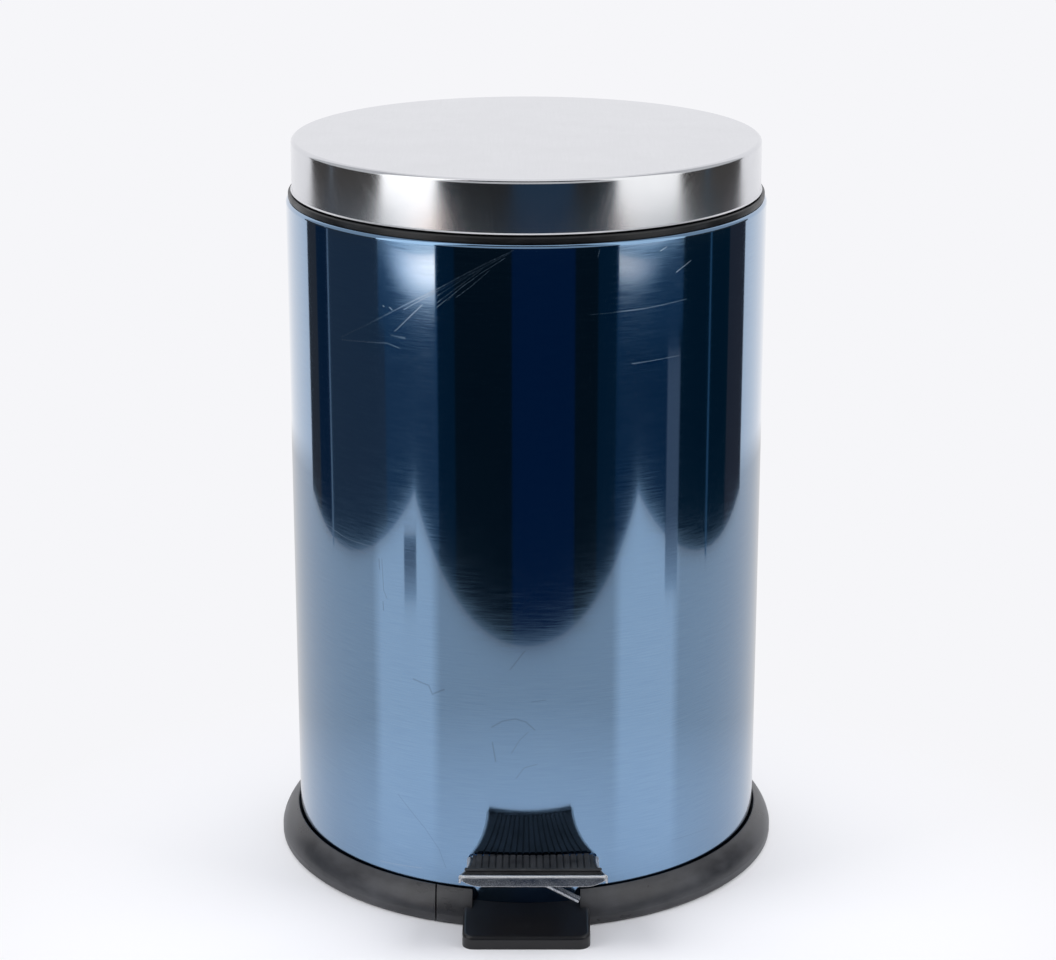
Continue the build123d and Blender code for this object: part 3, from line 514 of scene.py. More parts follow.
BODY_MARKS = (
    Mark(((-69.4, 149.7), (-59.3, 147.3), (-57.0, 142.2), (-49.5, 146.1)), -0.29, 0.8),
    Mark(((-1.2, 173.2), (-9.3, 161.9)), -0.33),
    Mark(((3.0, 141.5), (11.4, 142.6)), -0.23),
    Mark(((-20.3, 125.2), (-13.8, 129.3), (-6.4, 130.8), (-0.2, 128.9), (4.9, 123.9)), -0.26, 0.7),
    Mark(((0.9, 122.3), (-3.9, 117.5), (-8.8, 108.8)), -0.20),
    Mark(((-20.1, 115.2), (-18.2, 103.4)), -0.29, 0.6),
    Mark(((6.2, 101.8), (-1.2, 99.8), (-6.0, 92.9)), -0.23),
    Mark(((-90.8, 220.8), (-89.8, 201.7), (-87.4, 197.1)), -0.26),
    Mark(((-92.9, 220.5), (-92.6, 214.4)), -0.29, 0.6),
    Mark(((-90.4, 194.4), (-90.1, 189.1)), -0.29, 0.6),
    Mark(((-81.5, 73.2), (-62.9, 54.9), (-53.7, 42.8), (-49.3, 31.0)), -0.20),
    Mark(((-95.3, 25.4), (-65.2, 28.1)), 0.25),
    Mark(((95.3, 39.4), (127.6, 37.3)), -0.13),
    Mark(((-141.6, 231.5), (-121.4, 227.6), (-99.5, 226.9)), 0.16),
    Mark(((-140.5, 225.6), (-103.3, 221.5)), 0.16),
    Mark(((-120.4, 349.1), (-84.5, 353.0), (-75.9, 351.0)), 0.3),
    Mark(((-81.6, 358.1), (-72.5, 357.5)), 0.2, 0.9),
    Mark(((-86.9, 374.6), (-86.3, 374.2)), 0.4, 0.6),
    Mark(((-82.4, 374.2), (-80.6, 373.0)), 0.35, 0.6),
    Mark(((79.9, 407.4), (84.4, 409.3)), 0.4),
    Mark(((91.5, 393.7), (102.4, 399.0)), 0.5),
    Mark(((36.8, 374.4), (71.4, 375.2), (99.4, 376.8)), 0.28),
    Mark(((62.1, 343.5), (95.5, 344.2)), 0.32),
    Mark(((40.7, 407.8), (41.9, 411.5)), 0.35),
    # A sheaf of hairlines that spreads down and to the left from one point
    Mark(((-7.1, 412.5), (-22.2, 404.9), (-33.9, 398.5), (-51.4, 388.2)), 0.34, 0.42),
    Mark(((-51.4, 388.2), (-79.5, 372.6), (-98.1, 362.1), (-120.8, 350.6)), 0.2, 0.6),
    Mark(((-30.0, 399.5), (-51.5, 386.8), (-62.6, 380.3), (-72.6, 374.2)), 0.24, 0.42),
    Mark(((-9.4, 410.6), (-22.2, 403.5), (-31.7, 397.9), (-51.5, 384.1)), 0.3, 0.4),
    Mark(((-25.9, 400.4), (-51.5, 380.4)), 0.32, 0.4),
    Mark(((-11.8, 408.0), (-24.4, 399.7), (-34.7, 391.9), (-51.5, 377.8)), 0.36, 0.4),
    Mark(((-61.0, 378.0), (-78.8, 360.7)), 0.28, 0.45),
    Mark(((-20.8, 400.6), (-31.8, 390.6), (-40.0, 384.2)), 0.36, 0.4),
    Mark(((-34.8, 392.8), (-46.1, 380.8)), 0.28, 0.4),
)


@dataclass(frozen=True)
class BlueLacqueredSteel:
    """Stainless sheet, brushed along its length, rolled up and coated with clear blue lacquer.

    The brushing lies around the can, so reflections are drawn out upwards and keep sharp upright edges.
    The lacquer tints the metal and adds a glassy coat that whitens towards the outline.
    """

    name: str = "blue_lacquered_brushed_steel"
    tint: str = "#7D9FBF"
    tint_deep: str = "#7294B7"
    roughness: float = 0.074
    roughness_spread: Point = (-0.03, 0.04)
    brush_length: float = 22 * MM
    brush_pitch: float = 0.6 * MM  # coarser than the real brushing of about 0.2 mm, so that it shows
    brush_depth: float = 0.004 * MM
    radius: float = 146 * MM
    bare: str = "#C3C8CF"
    bare_roughness: float = 0.55

    def unrolled(self, tree: Tree) -> Socket:
        """Finds a point's place on the flat sheet before it was rolled.

        Args:
            tree: The node tree.

        Returns:
            Its place around from the front and up from the floor, in metres.
        """
        place = add_node(tree, "SeparateXYZ", [add_node(tree, "TexCoord", out="Object")]).node
        forward = add_node(tree, "Math", [place.outputs["Y"], -1.0], operation="MULTIPLY")
        angle = add_node(tree, "Math", [place.outputs["X"], forward], operation="ARCTAN2")
        around = add_node(tree, "Math", [angle, self.radius], operation="MULTIPLY")
        return add_node(tree, "CombineXYZ", [around, place.outputs["Z"]])

    def run_mask(self, tree: Tree, sheet: Socket, start: Point, end: Point, mark: Mark) -> Socket:
        """The depth of one straight run of a mark at each point, fading out to its sides.

        Args:
            tree: The node tree.
            sheet: The place on the flat sheet.
            start: Where the run begins.
            end: Where it ends.
            mark: The mark that it belongs to.

        Returns:
            The depth, above or below 0.
        """
        first = Vector((*start, 0)) * MM
        run = Vector((*end, 0)) * MM - first
        from_start = add_node(tree, "VectorMath", [sheet, first], operation="SUBTRACT")
        along = add_node(tree, "VectorMath", [from_start, run.normalized()], operation="DOT_PRODUCT")
        held = add_node(tree, "Clamp", [along, 0.0, run.length])
        nearest = add_node(tree, "VectorMath", {0: run.normalized(), "Scale": held}, operation="SCALE")
        apart = add_node(tree, "VectorMath", [from_start, nearest], operation="DISTANCE")
        return add_node(tree, "MapRange", [apart, 0.0, mark.width * MM, mark.depth, 0.0])

    def wear(self, tree: Tree, sheet: Socket) -> tuple[Socket, Socket]:
        """All marks together.

        Args:
            tree: The node tree.
            sheet: The place on the flat sheet.

        Returns:
            The share of bared metal and the share of dark runs.
        """
        bared: Socket | float = 0.0
        runs: Socket | float = 0.0
        for mark in BODY_MARKS:
            for start, end in zip(mark.path, mark.path[1:]):
                mask = self.run_mask(tree, sheet, start, end, mark)
                if mark.depth > 0:
                    bared = add_node(tree, "Math", [mask, bared], operation="MAXIMUM")
                else:
                    runs = add_node(tree, "Math", [mask, runs], operation="MINIMUM")
        return bared, runs

    def material(self) -> bpy.types.Material:
        """Makes the finish.

        Returns:
            The material.
        """
        material, tree = new_tree(self.name)
        sheet = self.unrolled(tree)
        brushing = grain(tree, sheet, (self.brush_length, self.brush_pitch, 1), detail=4.0)
        bared, runs = self.wear(tree, sheet)
        share = add_node(tree, "MapRange", [brushing, *NOISE_SPAN])
        feeds = {0: share, 6: linear(self.tint_deep), 7: linear(self.tint)}
        tinted = add_node(tree, "Mix", feeds, data_type="RGBA")
        dimmed = add_node(tree, "Math", [runs, 1.0], operation="ADD")
        stained = add_node(tree, "VectorMath", {0: tinted, "Scale": dimmed}, operation="SCALE")
        feeds = {0: bared, 6: stained, 7: linear(self.bare)}
        colour = add_node(tree, "Mix", feeds, data_type="RGBA")
        span = [self.roughness + spread for spread in self.roughness_spread]
        rough = add_node(tree, "MapRange", [brushing, *NOISE_SPAN, *span])
        roughness = add_node(tree, "Math", [bared, self.bare_roughness, rough], operation="MULTIPLY_ADD")
        feeds = {"Strength": 0.3, "Distance": self.brush_depth, "Height": brushing}
        shader = add_node(tree, "BsdfPrincipled", {
            "Base Color": colour,
            "Metallic": 1.0,
            "Roughness": roughness,
            "Anisotropic": 0.75,
            "Anisotropic Rotation": 0.25,
            "Tangent": add_node(tree, "Tangent", direction_type="RADIAL", axis="Z"),
            "Coat Weight": 1.0,
            "Coat Roughness": 0.03,
            "Coat IOR": 1.5,
            "Normal": add_node(tree, "Bump", feeds),
        })
        add_node(tree, "OutputMaterial", [shader])
        return material


@dataclass(frozen=True)
class BrushedLidSteel:
    """Stainless sheet, brushed in one direction and deep-drawn, so the lines run over the edge and down.

    Polished-looking where the lid is flat; fine upright streaks on the front of the skirt, duller low down.
    """

    name: str = "brushed_stainless_steel"
    bright: str = "#DCDDE0"
    dull: str = "#D7D8DB"
    dull_to_bright: Point = (0.12, 0.4)
    foot_and_top_roughness: Point = (0.24, 0.11)
    roughness_spread: Point = (-0.02, 0.03)
    streak_length: float = 45 * MM
    streak_pitch: float = 0.8 * MM  # coarser than the real 0.15 mm, so that it shows
    streak_depth: float = 0.002 * MM
    cloud_size: float = 30 * MM
    uv_map: str = "grain"

    def material(self, skirt: Point) -> bpy.types.Material:
        """Makes the finish.

        Args:
            skirt: The heights of the skirt's lower and upper edge, in metres.

        Returns:
            The material.
        """
        material, tree = new_tree(self.name)
        sheet = add_node(tree, "UVMap", uv_map=self.uv_map)
        place = add_node(tree, "TexCoord", out="Object")
        streaks = grain(tree, sheet, (self.streak_pitch, self.streak_length, 1))
        clouds = grain(tree, place, [self.cloud_size] * 3, detail=2.0)
        height = add_node(tree, "SeparateXYZ", [place], out="Z")
        low_down = add_node(tree, "MapRange", [height, *skirt, *self.foot_and_top_roughness])
        varied = add_node(tree, "MapRange", [streaks, *NOISE_SPAN, *self.roughness_spread])
        tone = add_node(tree, "Math", [streaks, clouds], operation="MULTIPLY")
        share = add_node(tree, "MapRange", [tone, *self.dull_to_bright])
        feeds = {0: share, 6: linear(self.dull), 7: linear(self.bright)}
        colour = add_node(tree, "Mix", feeds, data_type="RGBA")
        feeds = {"Strength": 0.08, "Distance": self.streak_depth, "Height": streaks}
        shader = add_node(tree, "BsdfPrincipled", {
            "Base Color": colour,
            "Metallic": 1.0,
            "Roughness": add_node(tree, "Math", [low_down, varied], operation="ADD"),
            "Anisotropic": 0.6,
            "Tangent": add_node(tree, "Tangent", direction_type="UV_MAP", uv_map=self.uv_map),
            "Normal": add_node(tree, "Bump", feeds),
        })
        add_node(tree, "OutputMaterial", [shader])
        return material


@dataclass(frozen=True)
class PolishedPedalSteel:
    """Pressed steel, polished and then scuffed by shoes: a dark, finely pitted face with burnished edges.

    Shoes rub it from front to back, so what it mirrors is drawn out sideways.
    """

    name: str
    bright: str
    pitted: str
    roughness: Point
    pit_size: float = 0.55 * MM
    pit_depth: float = 0.01 * MM
    pit_to_face: Point = (0.44, 0.62)
    scuff_size: Triple = (9 * MM, 1.2 * MM, 9 * MM)

    def material(self) -> bpy.types.Material:
        """Makes the finish.

        Returns:
            The material.
        """
        material, tree = new_tree(self.name)
        place = add_node(tree, "TexCoord", out="Object")
        pits = grain(tree, place, [self.pit_size] * 3, detail=4.0)
        speckle = add_node(tree, "MapRange", [pits, *self.pit_to_face])
        scuffs = grain(tree, place, self.scuff_size, detail=2.0)
        feeds = {0: speckle, 6: linear(self.pitted), 7: linear(self.bright)}
        colour = add_node(tree, "Mix", feeds, data_type="RGBA")
        feeds = {"Strength": 0.3, "Distance": self.pit_depth, "Height": pits}
        shader = add_node(tree, "BsdfPrincipled", {
            "Base Color": colour,
            "Metallic": 1.0,
            "Roughness": add_node(tree, "MapRange", [scuffs, *NOISE_SPAN, *self.roughness]),
            "Anisotropic": 0.7,
            "Tangent": add_node(tree, "Tangent", direction_type="RADIAL", axis="Z"),
            "Normal": add_node(tree, "Bump", feeds),
        })
        add_node(tree, "OutputMaterial", [shader])
        return material


@dataclass(frozen=True)
class MouldedBlack:
    """A black moulding: its own colour, a fine spark-eroded grain and paler dust or scuffs on it."""

    name: str
    base: str
    scuffed: str
    roughness: float
    roughness_spread: Point = (-0.05, 0.12)
    grain_size: float = 0.5 * MM
    grain_depth: float = 0.03 * MM
    dust_size: float = 18 * MM
    dust_flatness: float = 0.4
    dust: Point = (0.5, 0.8)
    clean_place: Triple = (0, -180 * MM, 10 * MM)
    clean_reach: Point = (-2.0, -1.0)  # the paler dust colour is not mixed in nearer to that place than this, so the foot under the pedal stays darker

    def material(self) -> bpy.types.Material:
        """Makes the finish.

        Returns:
            The material.
        """
        material, tree = new_tree(self.name)
        place = add_node(tree, "TexCoord", out="Object")
        skin = grain(tree, place, [self.grain_size] * 3, detail=2.0)
        patch = (self.dust_size, self.dust_size, self.dust_flatness * self.dust_size)
        dust = grain(tree, place, patch, detail=6.0)
        lying = add_node(tree, "MapRange", [dust, *self.dust])
        away = add_node(tree, "VectorMath", [place, self.clean_place], operation="DISTANCE")
        kept = add_node(tree, "MapRange", [away, *self.clean_reach])
        share = add_node(tree, "Math", [lying, kept], operation="MULTIPLY")
        feeds = {0: share, 6: linear(self.base), 7: linear(self.scuffed)}
        colour = add_node(tree, "Mix", feeds, data_type="RGBA")
        span = [self.roughness + spread for spread in self.roughness_spread]
        feeds = {"Strength": 0.6, "Distance": self.grain_depth, "Height": skin}
        shader = add_node(tree, "BsdfPrincipled", {
            "Base Color": colour,
            "Roughness": add_node(tree, "MapRange", [dust, *NOISE_SPAN, *span]),
            "Normal": add_node(tree, "Bump", feeds),
        })
        add_node(tree, "OutputMaterial", [shader])
        return material


@dataclass(frozen=True)
class ZincPlatedSteel:
    """Zinc plate on pressed steel: pale grey metal, a little chalky, with a soft crystalline mottle."""

    name: str = "zinc_plated_steel"
    pale: str = "#E4E6E8"
    shade: str = "#BCBFC3"
    cell: float = 4 * MM
    pale_to_shade: Point = (0.0, 0.8)
    smudge_size: float = 9 * MM
    roughness: Point = (0.3, 0.45)

    def material(self) -> bpy.types.Material:
        """Makes the finish.

        Returns:
            The material.
        """
        material, tree = new_tree(self.name)
        place = add_node(tree, "TexCoord", out="Object")
        scaled = add_node(tree, "VectorMath", [place, [1 / self.cell] * 3], operation="MULTIPLY")
        spangle = add_node(tree, "TexVoronoi", {"Vector": scaled, "Scale": 1.0})
        mottle = add_node(tree, "MapRange", [spangle, *self.pale_to_shade])
        smudge = grain(tree, place, [self.smudge_size] * 3)
        feeds = {0: mottle, 6: linear(self.pale), 7: linear(self.shade)}
        shader = add_node(tree, "BsdfPrincipled", {
            "Base Color": add_node(tree, "Mix", feeds, data_type="RGBA"),
            "Metallic": 0.35,
            "Roughness": add_node(tree, "MapRange", [smudge, *NOISE_SPAN, *self.roughness]),
        })
        add_node(tree, "OutputMaterial", [shader])
        return material


@dataclass(frozen=True)
class NaturalNylon:
    """Unpigmented nylon: a milky off-white that lets a little light in."""

    name: str = "natural_nylon"
    milky: str = "#E4DECB"
    amber: str = "#D6CCB2"
    cloud_size: float = 8 * MM
    roughness: Point = (0.35, 0.5)

    def material(self) -> bpy.types.Material:
        """Makes the finish.

        Returns:
            The material.
        """
        material, tree = new_tree(self.name)
        clouds = grain(tree, add_node(tree, "TexCoord", out="Object"), [self.cloud_size] * 3)
        feeds = {0: clouds, 6: linear(self.milky), 7: linear(self.amber)}
        shader = add_node(tree, "BsdfPrincipled", {
            "Base Color": add_node(tree, "Mix", feeds, data_type="RGBA"),
            "Roughness": add_node(tree, "MapRange", [clouds, *NOISE_SPAN, *self.roughness]),
            "IOR": 1.53,
            "Subsurface Weight": 0.15,
            "Subsurface Scale": 1.5 * MM,
        })
        add_node(tree, "OutputMaterial", [shader])
        return material


class Finishes:
    """Every finish of the can, made once."""

    def __init__(self, skirt: Point) -> None:
        """Makes the materials.

        Args:
            skirt: The heights of the lid skirt's lower and upper edge.
        """
        self.blue_lacquered_steel = BlueLacqueredSteel().material()
        self.brushed_lid_steel = BrushedLidSteel().material(skirt)
        self.polished_pedal_steel = PolishedPedalSteel(
            "scuffed_polished_steel", "#D4D7DB", "#868A90", (0.26, 0.4)
        ).material()
        # Its rounded edges: burnished by wear, and near-white so that they also paint a brighter highlight
        # line.
        self.burnished_pedal_edge = PolishedPedalSteel(
            "burnished_steel_painted_highlight", "#F7F7F8", "#E6E7E9", (0.4, 0.5)
        ).material()
        self.zinc_plated_steel = ZincPlatedSteel().material()
        self.natural_nylon = NaturalNylon().material()
        # Synthetic rubber tread: matt, dusty grey-black.
        self.black_tread_rubber = MouldedBlack(
            "moulded_tread_rubber", "#1E1F21", "#36373A", 0.5, grain_size=0.6 * MM, dust=(0.35, 0.7)
        ).material()
        # Filled rubber of the ring: grey-black with a dusty bloom and shoe scuffs, and darker on and round
        # the foot under the pedal.
        self.black_ring_rubber = MouldedBlack(
            "moulded_ring_rubber", "#151518", "#4E4F53", 0.3,
            dust_size=40 * MM, dust=(0.2, 0.85), clean_reach=(42 * MM, 50 * MM),
        ).material()
        # Polypropylene mouldings: nearly black, satin.
        self.black_plastic = MouldedBlack(
            "moulded_black_polypropylene", "#0E0F11", "#1E2023", 0.34, grain_depth=0.015 * MM
        ).material()
        # The bucket's polypropylene: dark grey, a little waxy.
        self.bucket_plastic = MouldedBlack(
            "moulded_bucket_polypropylene", "#1E2022", "#303336", 0.42, grain_size=0.8 * MM
        ).material()

    def dress(self, piece: Piece, slot: str) -> None:
        """Gives a piece the finish of one of the record's material slots.

        Args:
            piece: The piece to dress.
            slot: The material slot's name.
        """
        material = getattr(self, slot)
        if not piece.material_slots:
            piece.data.materials.append(material)
        for place in piece.material_slots:
            place.material = material


def hand_over(piece: Piece, body: str, node: str, slot: str, finishes: Finishes) -> None:
    """Dresses a finished piece and lets it stand for its CAD node.

    Args:
        piece: The finished piece.
        body: The CAD body that it moves with.
        node: The CAD node that it stands for.
        slot: The record's material slot for its finish.
        finishes: The can's finishes.
    """
    finishes.dress(piece, slot)
    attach(piece, body)
    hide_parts(node)
    log.info("%s: %d faces, stands for %s on %s", piece.name, len(piece.data.polygons), node, body)


# Sub-assemblies


@dataclass
class Body:
    """The rolled sheet cylinder, turned in at its top edge, with the pedal's slot and the hinge's notch."""

    finishes: Finishes
    sheet: float = 0.6 * MM
    shoulder: float = 2.5 * MM
    flange: float = 4.9 * MM
    slot_width: float = 44 * MM
    slot_heights: Point = (23.9 * MM, 42.7 * MM)
    notch_width: float = 18.4 * MM
    notch_depth: float = 15.5 * MM
    turns: int = 360

    def build(self) -> None:
        """Models the shell and hands it over."""
        low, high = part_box("body_shell")
        radius, bottom, top = high.x, low.z, high.z
        inner = self.shoulder - self.sheet
        centre = (radius - self.shoulder, top - self.shoulder)
        lip = radius - self.shoulder - self.flange
        profile = [
            (radius, bottom),
            *arc(centre, self.shoulder, 0, 90, steps=8),
            (lip, top),
            (lip, top - self.sheet),
            *arc(centre, inner, 90, 0, steps=6),
            (radius - self.sheet, bottom),
        ]
        shell = turned("body_sheet", profile, self.turns)
        half = self.slot_width / 2
        slot = block("slot", (-half, half), (-2 * radius, 0), self.slot_heights)
        combine(shell, slot, Cut.AWAY)
        half = self.notch_width / 2
        notch = block("notch", (-half, half), (0, 2 * radius), (top - self.notch_depth, top + radius))
        combine(shell, notch, Cut.AWAY)
        smooth(shell)
        hand_over(shell, "can", "body_shell", "blue_lacquered_steel", self.finishes)


@dataclass
class Lid:
    """The drawn steel cap, with a small flare where its skirt was trimmed."""

    finishes: Finishes
    sheet: float = 0.6 * MM
    edge: float = 2.5 * MM
    flare: float = 0.8 * MM
    flare_height: float = 0.7 * MM
    hem: float = 0.25 * MM
    turns: int = 360

    def build(self) -> None:
        """Models the cap, lays its brushing out and hands it over."""
        low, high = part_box("lid_shell")
        radius, bottom, top = high.x, low.z, high.z
        centre = (radius - self.edge, top - self.edge)
        foot = bottom + self.hem
        profile = [
            (radius - self.sheet, bottom),
            (radius + self.flare - self.hem, bottom),
            (radius + self.flare, foot),
            (radius, foot + self.flare_height),
            *arc(centre, self.edge, 0, 90, steps=10),
            (0, top),
            (0, top - self.sheet),
            *arc(centre, self.edge - self.sheet, 90, 0, steps=6),
        ]
        cap = turned("lid_cap", profile, self.turns)
        self.lay_out_grain(cap, radius, top)
        smooth(cap)
        hand_over(cap, "lid", "lid_shell", "brushed_lid_steel", self.finishes)

    def lay_out_grain(self, cap: Piece, radius: float, top: float) -> None:
        """Maps the cap back to its flat sheet, so that the brushing runs over the edge and down the skirt.

        Args:
            cap: The lid's cap.
            radius: The skirt's radius.
            top: The height of the lid's top.
        """
        layer = cap.data.uv_layers.new(name=BrushedLidSteel.uv_map)
        for loop in cap.data.loops:
            place = cap.data.vertices[loop.vertex_index].co
            stretch = 1 + (top - place.z) / radius
            layer.data[loop.index].uv = (place.x * stretch, place.y * stretch)


@dataclass
class Collar:
    """The black ring between body and lid, with softened edges and a fine foot line."""

    finishes: Finishes
    band_height: float = 3.9 * MM
    plug: float = 138.4 * MM
    throat: float = 133 * MM
    seat_inner: float = 128 * MM
    seat_drop: float = 5.5 * MM
    plug_depth: float = 7.7 * MM
    rim_width: float = 4 * MM
    groove: float = 0.5 * MM
    soft: float = 0.6 * MM
    notch_width: float = 18.4 * MM
    turns: int = 288

    def build(self) -> None:
        """Models the ring and hands it over."""
        low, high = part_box("top_collar")
        radius, rim = high.x, high.z
        body_top = low.z + self.plug_depth
        ledge = body_top + self.band_height
        seat = body_top - self.seat_drop
        outline = rounded([
            (self.seat_inner, low.z, self.soft),
            (self.plug, low.z, self.soft),
            (self.plug, body_top, 0),
            (radius - self.groove, body_top, 0),
            (radius - self.groove, body_top + self.groove, 0),
            (radius, body_top + 1.5 * self.groove, 0),
            (radius, ledge, 1.6 * self.soft),
            (self.throat + self.rim_width, ledge, self.soft / 2),
            (self.throat + self.rim_width, rim, self.soft),
            (self.throat, rim, self.soft),
            (self.throat, seat, self.soft / 2),
            (self.seat_inner, seat, self.soft),
        ])
        ring = turned("collar_ring", outline, self.turns)
        half = self.notch_width / 2
        notch = block("notch", (-half, half), (0, 2 * radius), (low.z - radius, rim + radius))
        combine(ring, notch, Cut.AWAY)
        smooth(ring)
        hand_over(ring, "can", "top_collar", "black_plastic", self.finishes)


@dataclass
class BaseRing:
    """The moulded ring around the can's foot, its butt joint, and the flat foot under the pedal."""

    finishes: Finishes
    body_radius: float = 146 * MM
    bore_gap: float = 0.2 * MM
    heel: float = 1.8 * MM
    band_height: float = 6 * MM
    bulge: float = 1.4 * MM
    lip_gap: float = 1.2 * MM
    lip_width: float = 0.8 * MM
    lip_depth: float = 4 * MM
    lip_soft: float = 0.25 * MM
    parting_line: Point = (0.15 * MM, 0.4 * MM)
    soft: float = 0.3 * MM
    seat: float = 5 * MM
    ledge: float = 14 * MM
    relief: float = 1.5 * MM
    joint_width: float = 0.9 * MM
    joint_place: float = -54.4 * MM
    foot_width: float = 75.8 * MM
    foot_front: float = 7.8 * MM
    foot_rear: float = 13.8 * MM
    foot_corner: float = 7 * MM
    foot_edge: float = 2.2 * MM
    pocket_wall: float = 5.5 * MM
    screw_circle: float = 139 * MM
    screw_count: int = 6
    screw_hole: float = 1.85 * MM
    screw_bore: float = 3.7 * MM
    screw_bore_top: float = 3.5 * MM
    turns: int = 288

    def ring(self, radius: float, top: float) -> Piece:
        """Spins the ring's section.

        Args:
            radius: The ring's outer radius.
            top: The height of its lip.

        Returns:
            The closed ring.
        """
        bore = self.body_radius + self.bore_gap
        lip = self.body_radius + self.lip_gap
        ledge = self.body_radius - self.ledge
        slope = bowed((radius, self.band_height), (lip + self.lip_width, top), -self.bulge, steps=10)
        soft = self.soft
        step, drop = self.parting_line
        outline = rounded([
            (lip, top, self.lip_soft),
            (lip, top - self.lip_depth, 0),
            (bore, top - self.lip_depth - self.lip_gap, 0),
            (bore, self.seat, 0),
            (ledge, self.seat, soft),
            (ledge, self.relief, soft),
            (bore, self.relief, 0),
            (bore, 0, soft),
            (radius - self.heel, 0, 2 * soft),
            (radius, self.heel, 2 * soft),
            (radius, self.band_height - drop, 0),
            (radius - step, self.band_height, 0),
            *[(r, z, 0) for r, z in slope[1:]],
        ])
        return turned("foot_ring", outline, self.turns)

    def foot(self, front: float) -> Piece:
        """Shapes the flat foot from a block: a falling top, round corners and soft edges.

        Args:
            front: Where the foot ends, in front of the can.

        Returns:
            The foot, cut to the body's seat.
        """
        half = self.foot_width / 2
        rear = -self.body_radius + self.ledge
        piece = block("foot", (-half, half), (front, rear), (0, self.foot_rear))
        with editing(piece, Element.VERTS):
            pick(piece, Element.VERTS, lambda v: v.co.y < front + MM and v.co.z > MM)
            bpy.ops.transform.translate(value=(0, 0, self.foot_front - self.foot_rear))
            pick(piece, Element.EDGES, lambda e: middle(e).y < front + MM and abs(middle(e).x) > half - MM)
            bpy.ops.mesh.bevel(offset=self.foot_corner, segments=10, affect="EDGES")
            bpy.ops.mesh.select_all(action="DESELECT")
            pick(piece, Element.EDGES, self.on_top_rim)
            bpy.ops.mesh.bevel(offset=self.foot_edge, segments=5, affect="EDGES")
        seat = drum("seat", self.body_radius + self.bore_gap, Vector((0, 0, self.seat)), 4 * self.seat)
        combine(piece, seat, Cut.AWAY)
        below = Vector((0, 0, -self.seat))
        relief = drum("relief", self.body_radius + self.bore_gap, below, self.seat + self.relief)
        combine(piece, relief, Cut.AWAY)
        return piece

    @staticmethod
    def on_top_rim(edge: bmesh.types.BMEdge) -> bool:
        """Says whether an edge runs round the foot's top, apart from its back.

        Args:
            edge: The edge.

        Returns:
            True for such an edge.
        """
        normals = [face.normal for face in edge.link_faces]
        upward = [normal for normal in normals if normal.z > UPWARD]
        sideways = [normal for normal in normals if abs(normal.z) < UPWARD and normal.y < UPWARD]
        return len(upward) == 1 and len(sideways) == 1

    def build(self) -> None:
        """Models ring and foot as one moulding and hands it over."""
        low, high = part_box("base_ring")
        radius, top, front = high.y, high.z, low.y
        ring = self.ring(radius, top)
        half = self.foot_width / 2 - self.pocket_wall
        bore = self.body_radius + self.bore_gap
        over_foot = block("over_foot", (-half, half), (-2 * radius, -bore), (-top, 2 * top))
        combine(ring, over_foot, Cut.AWAY)
        over_ledge = block("over_ledge", (-half, half), (-bore - MM, self.ledge - bore), (-top, 2 * top))
        combine(ring, over_ledge, Cut.AWAY)
        combine(ring, self.foot(front), Cut.TOGETHER)
        for cutter in self.screw_bores():
            combine(ring, cutter, Cut.AWAY)
        combine(ring, self.joint_slit(radius, top), Cut.AWAY)
        smooth(ring, sharp=36)
        hand_over(ring, "can", "base_ring", "black_ring_rubber", self.finishes)

    def screw_bores(self) -> list[Piece]:
        """Makes the cutters of the screws' stepped holes through the ledge.

        Returns:
            All narrow holes as one cutter, and all wide ones.
        """
        turns = [math.tau * number / self.screw_count for number in range(self.screw_count)]
        places = [Vector((math.cos(t), math.sin(t), 0)) * self.screw_circle for t in turns]
        below = Vector((0, 0, -self.seat))
        holes = [drum("hole", self.screw_hole, place + below, 4 * self.seat, sides=24) for place in places]
        reach = self.seat + self.screw_bore_top
        bores = [drum("bore", self.screw_bore, place + below, reach, sides=32) for place in places]
        return [joined("holes", holes), joined("bores", bores)]

    def joint_slit(self, radius: float, top: float) -> Piece:
        """Makes the cutter for the butt joint of the ring, left of the front.

        Args:
            radius: The ring's outer radius.
            top: The height of its lip.

        Returns:
            The cutter.
        """
        left = self.joint_place - self.joint_width / 2
        back = self.ledge - self.body_radius + 2 * top
        return block("slit", (left, left + self.joint_width), (-2 * radius, back), (-top, 2 * top))


